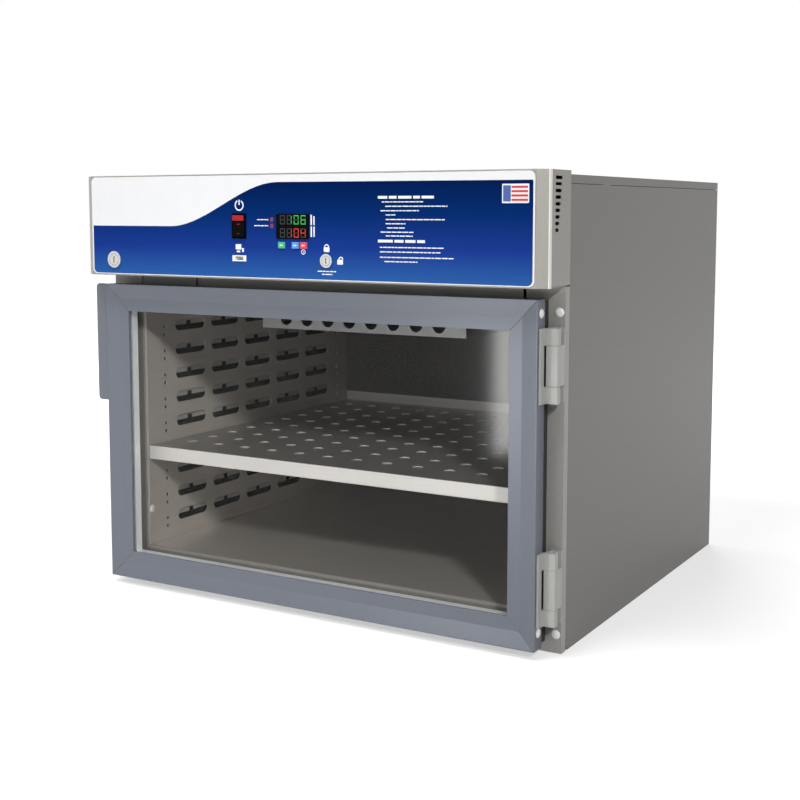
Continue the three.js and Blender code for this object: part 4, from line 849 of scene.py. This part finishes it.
# Data socket and key cylinders: a white plug socket, and two bright cylinders with upright keyways.
# The CAD bodies and barrels are kept, with rounded rims.
dress(white_plastic, "data_socket", edge=0.4)
cylinder = surface("cylinder_metal", (0.58, 0.58, 0.58), 0.32, metal=0.55, vary=0.04, scale=(120, 120, 120))
dress(cylinder, "key_switch_body", "key_barrel", "lock_body", "lock_barrel", edge=0.3)

# Door frame: four mitred rails of blue-grey painted metal, bevelled towards the glass.
# The CAD rails are kept, and the pull on the left is bent from the same painted sheet.
door_paint = surface("door_paint", (0.134, 0.147, 0.178), 0.36, metal=0.1, vary=0.03,
                     scale=(350, 350, 350), bump=0.03)
dress(door_paint, "door_left_rail", "door_right_rail", "door_top_rail", "door_bottom_rail", edge=0.5)
dress(door_paint, "door_handle", edge=0.9)

# Glazing: two clear panes with a bright metal spacer between them, held in the rails' rebate.
# The panes let light straight through and gleam at a slant, and a black gasket closes on the stiles.
GLASS_TINT = (0.982, 0.981, 0.978)
GLASS_IOR = 1.12
glass = surface("clear_glass", GLASS_TINT, 0.1, vary=0.004, scale=(20, 20, 20), bump=0)
glass_nodes = glass.node_tree.nodes
glass_links = glass.node_tree.links
for unused in ("Principled BSDF", "Bump"):
    glass_nodes.remove(glass_nodes[unused])
clear = glass_nodes.new("ShaderNodeBsdfTransparent")
gleam = glass_nodes.new("ShaderNodeBsdfGlossy")
edge_on = glass_nodes.new("ShaderNodeFresnel")
edge_on.inputs["IOR"].default_value = GLASS_IOR
glass_mix = glass_nodes.new("ShaderNodeMixShader")
glass_links.new(glass_nodes["Color Ramp"].outputs["Color"], clear.inputs["Color"])
glass_links.new(glass_nodes["Map Range"].outputs["Result"], gleam.inputs["Roughness"])
glass_links.new(edge_on.outputs[0], glass_mix.inputs["Fac"])
glass_links.new(clear.outputs[0], glass_mix.inputs[1])
glass_links.new(gleam.outputs[0], glass_mix.inputs[2])
glass_links.new(glass_mix.outputs[0], glass_nodes["Material Output"].inputs["Surface"])
dress(glass, "outer_glass", "inner_glass", edge=0)
spacer_metal = surface("spacer_metal", (0.78, 0.79, 0.8), 0.4, metal=0.2, vary=0.04, scale=(200, 200, 200))
dress(spacer_metal, "glass_spacer", edge=0)
rubber = surface("black_rubber", (0.014, 0.014, 0.015), 0.75, vary=0.2, scale=(700, 700, 700), bump=0.2)
dress(rubber, "door_gasket", edge=0.8)

# Hinges: two block hinges of satin metal, each with a door leaf, a frame leaf and a steel pin.
# The CAD knuckles are kept, with broken edges that show the joints between them.
hinge_metal = surface("hinge_metal", (0.40, 0.40, 0.382), 0.55, metal=0.2, vary=0.05, scale=(200, 200, 30))
for level in ("lower", "upper"):
    dress(hinge_metal, level + "_hinge_door_leaf", level + "_hinge_frame_leaf", edge=0.5)
    dress(bright, level + "_hinge_pin", edge=0.4)

# Power path: a moulded black inlet in the back panel and the folded case of the supply behind the header.
# Three flat brass pins stand in the inlet.
dress(black, "power_inlet", edge=0.5)
case = surface("supply_case", (0.45, 0.45, 0.44), 0.4, metal=0.7, vary=0.06, scale=(100, 100, 100))
dress(case, "power_supply", edge=0.4)
PIN_SIZE = (2, 5)
PIN_PITCH = 7
PIN_STAGGER = 2
PIN_ENDS = (5, 4)
low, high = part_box("power_inlet")
x, z = (low[0] + high[0]) / 2, (low[2] + high[2]) / 2
brass = surface("brass_pins", (0.62, 0.45, 0.16), 0.3, metal=0.9, vary=0.08, scale=(300, 300, 300))
pins = []
for across, up in ((-PIN_PITCH, -PIN_STAGGER), (0, PIN_STAGGER), (PIN_PITCH, -PIN_STAGGER)):
    a, b = x + across * MM, z + up * MM
    pins.append(((a - PIN_SIZE[0] / 2 * MM, low[1] + PIN_ENDS[0] * MM, b - PIN_SIZE[1] / 2 * MM),
                 (a + PIN_SIZE[0] / 2 * MM, high[1] - PIN_ENDS[1] * MM, b + PIN_SIZE[1] / 2 * MM)))
piece("inlet_pins", blocks(pins, edge=0.4), brass, "cabinet", "bright_metal")

low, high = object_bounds()
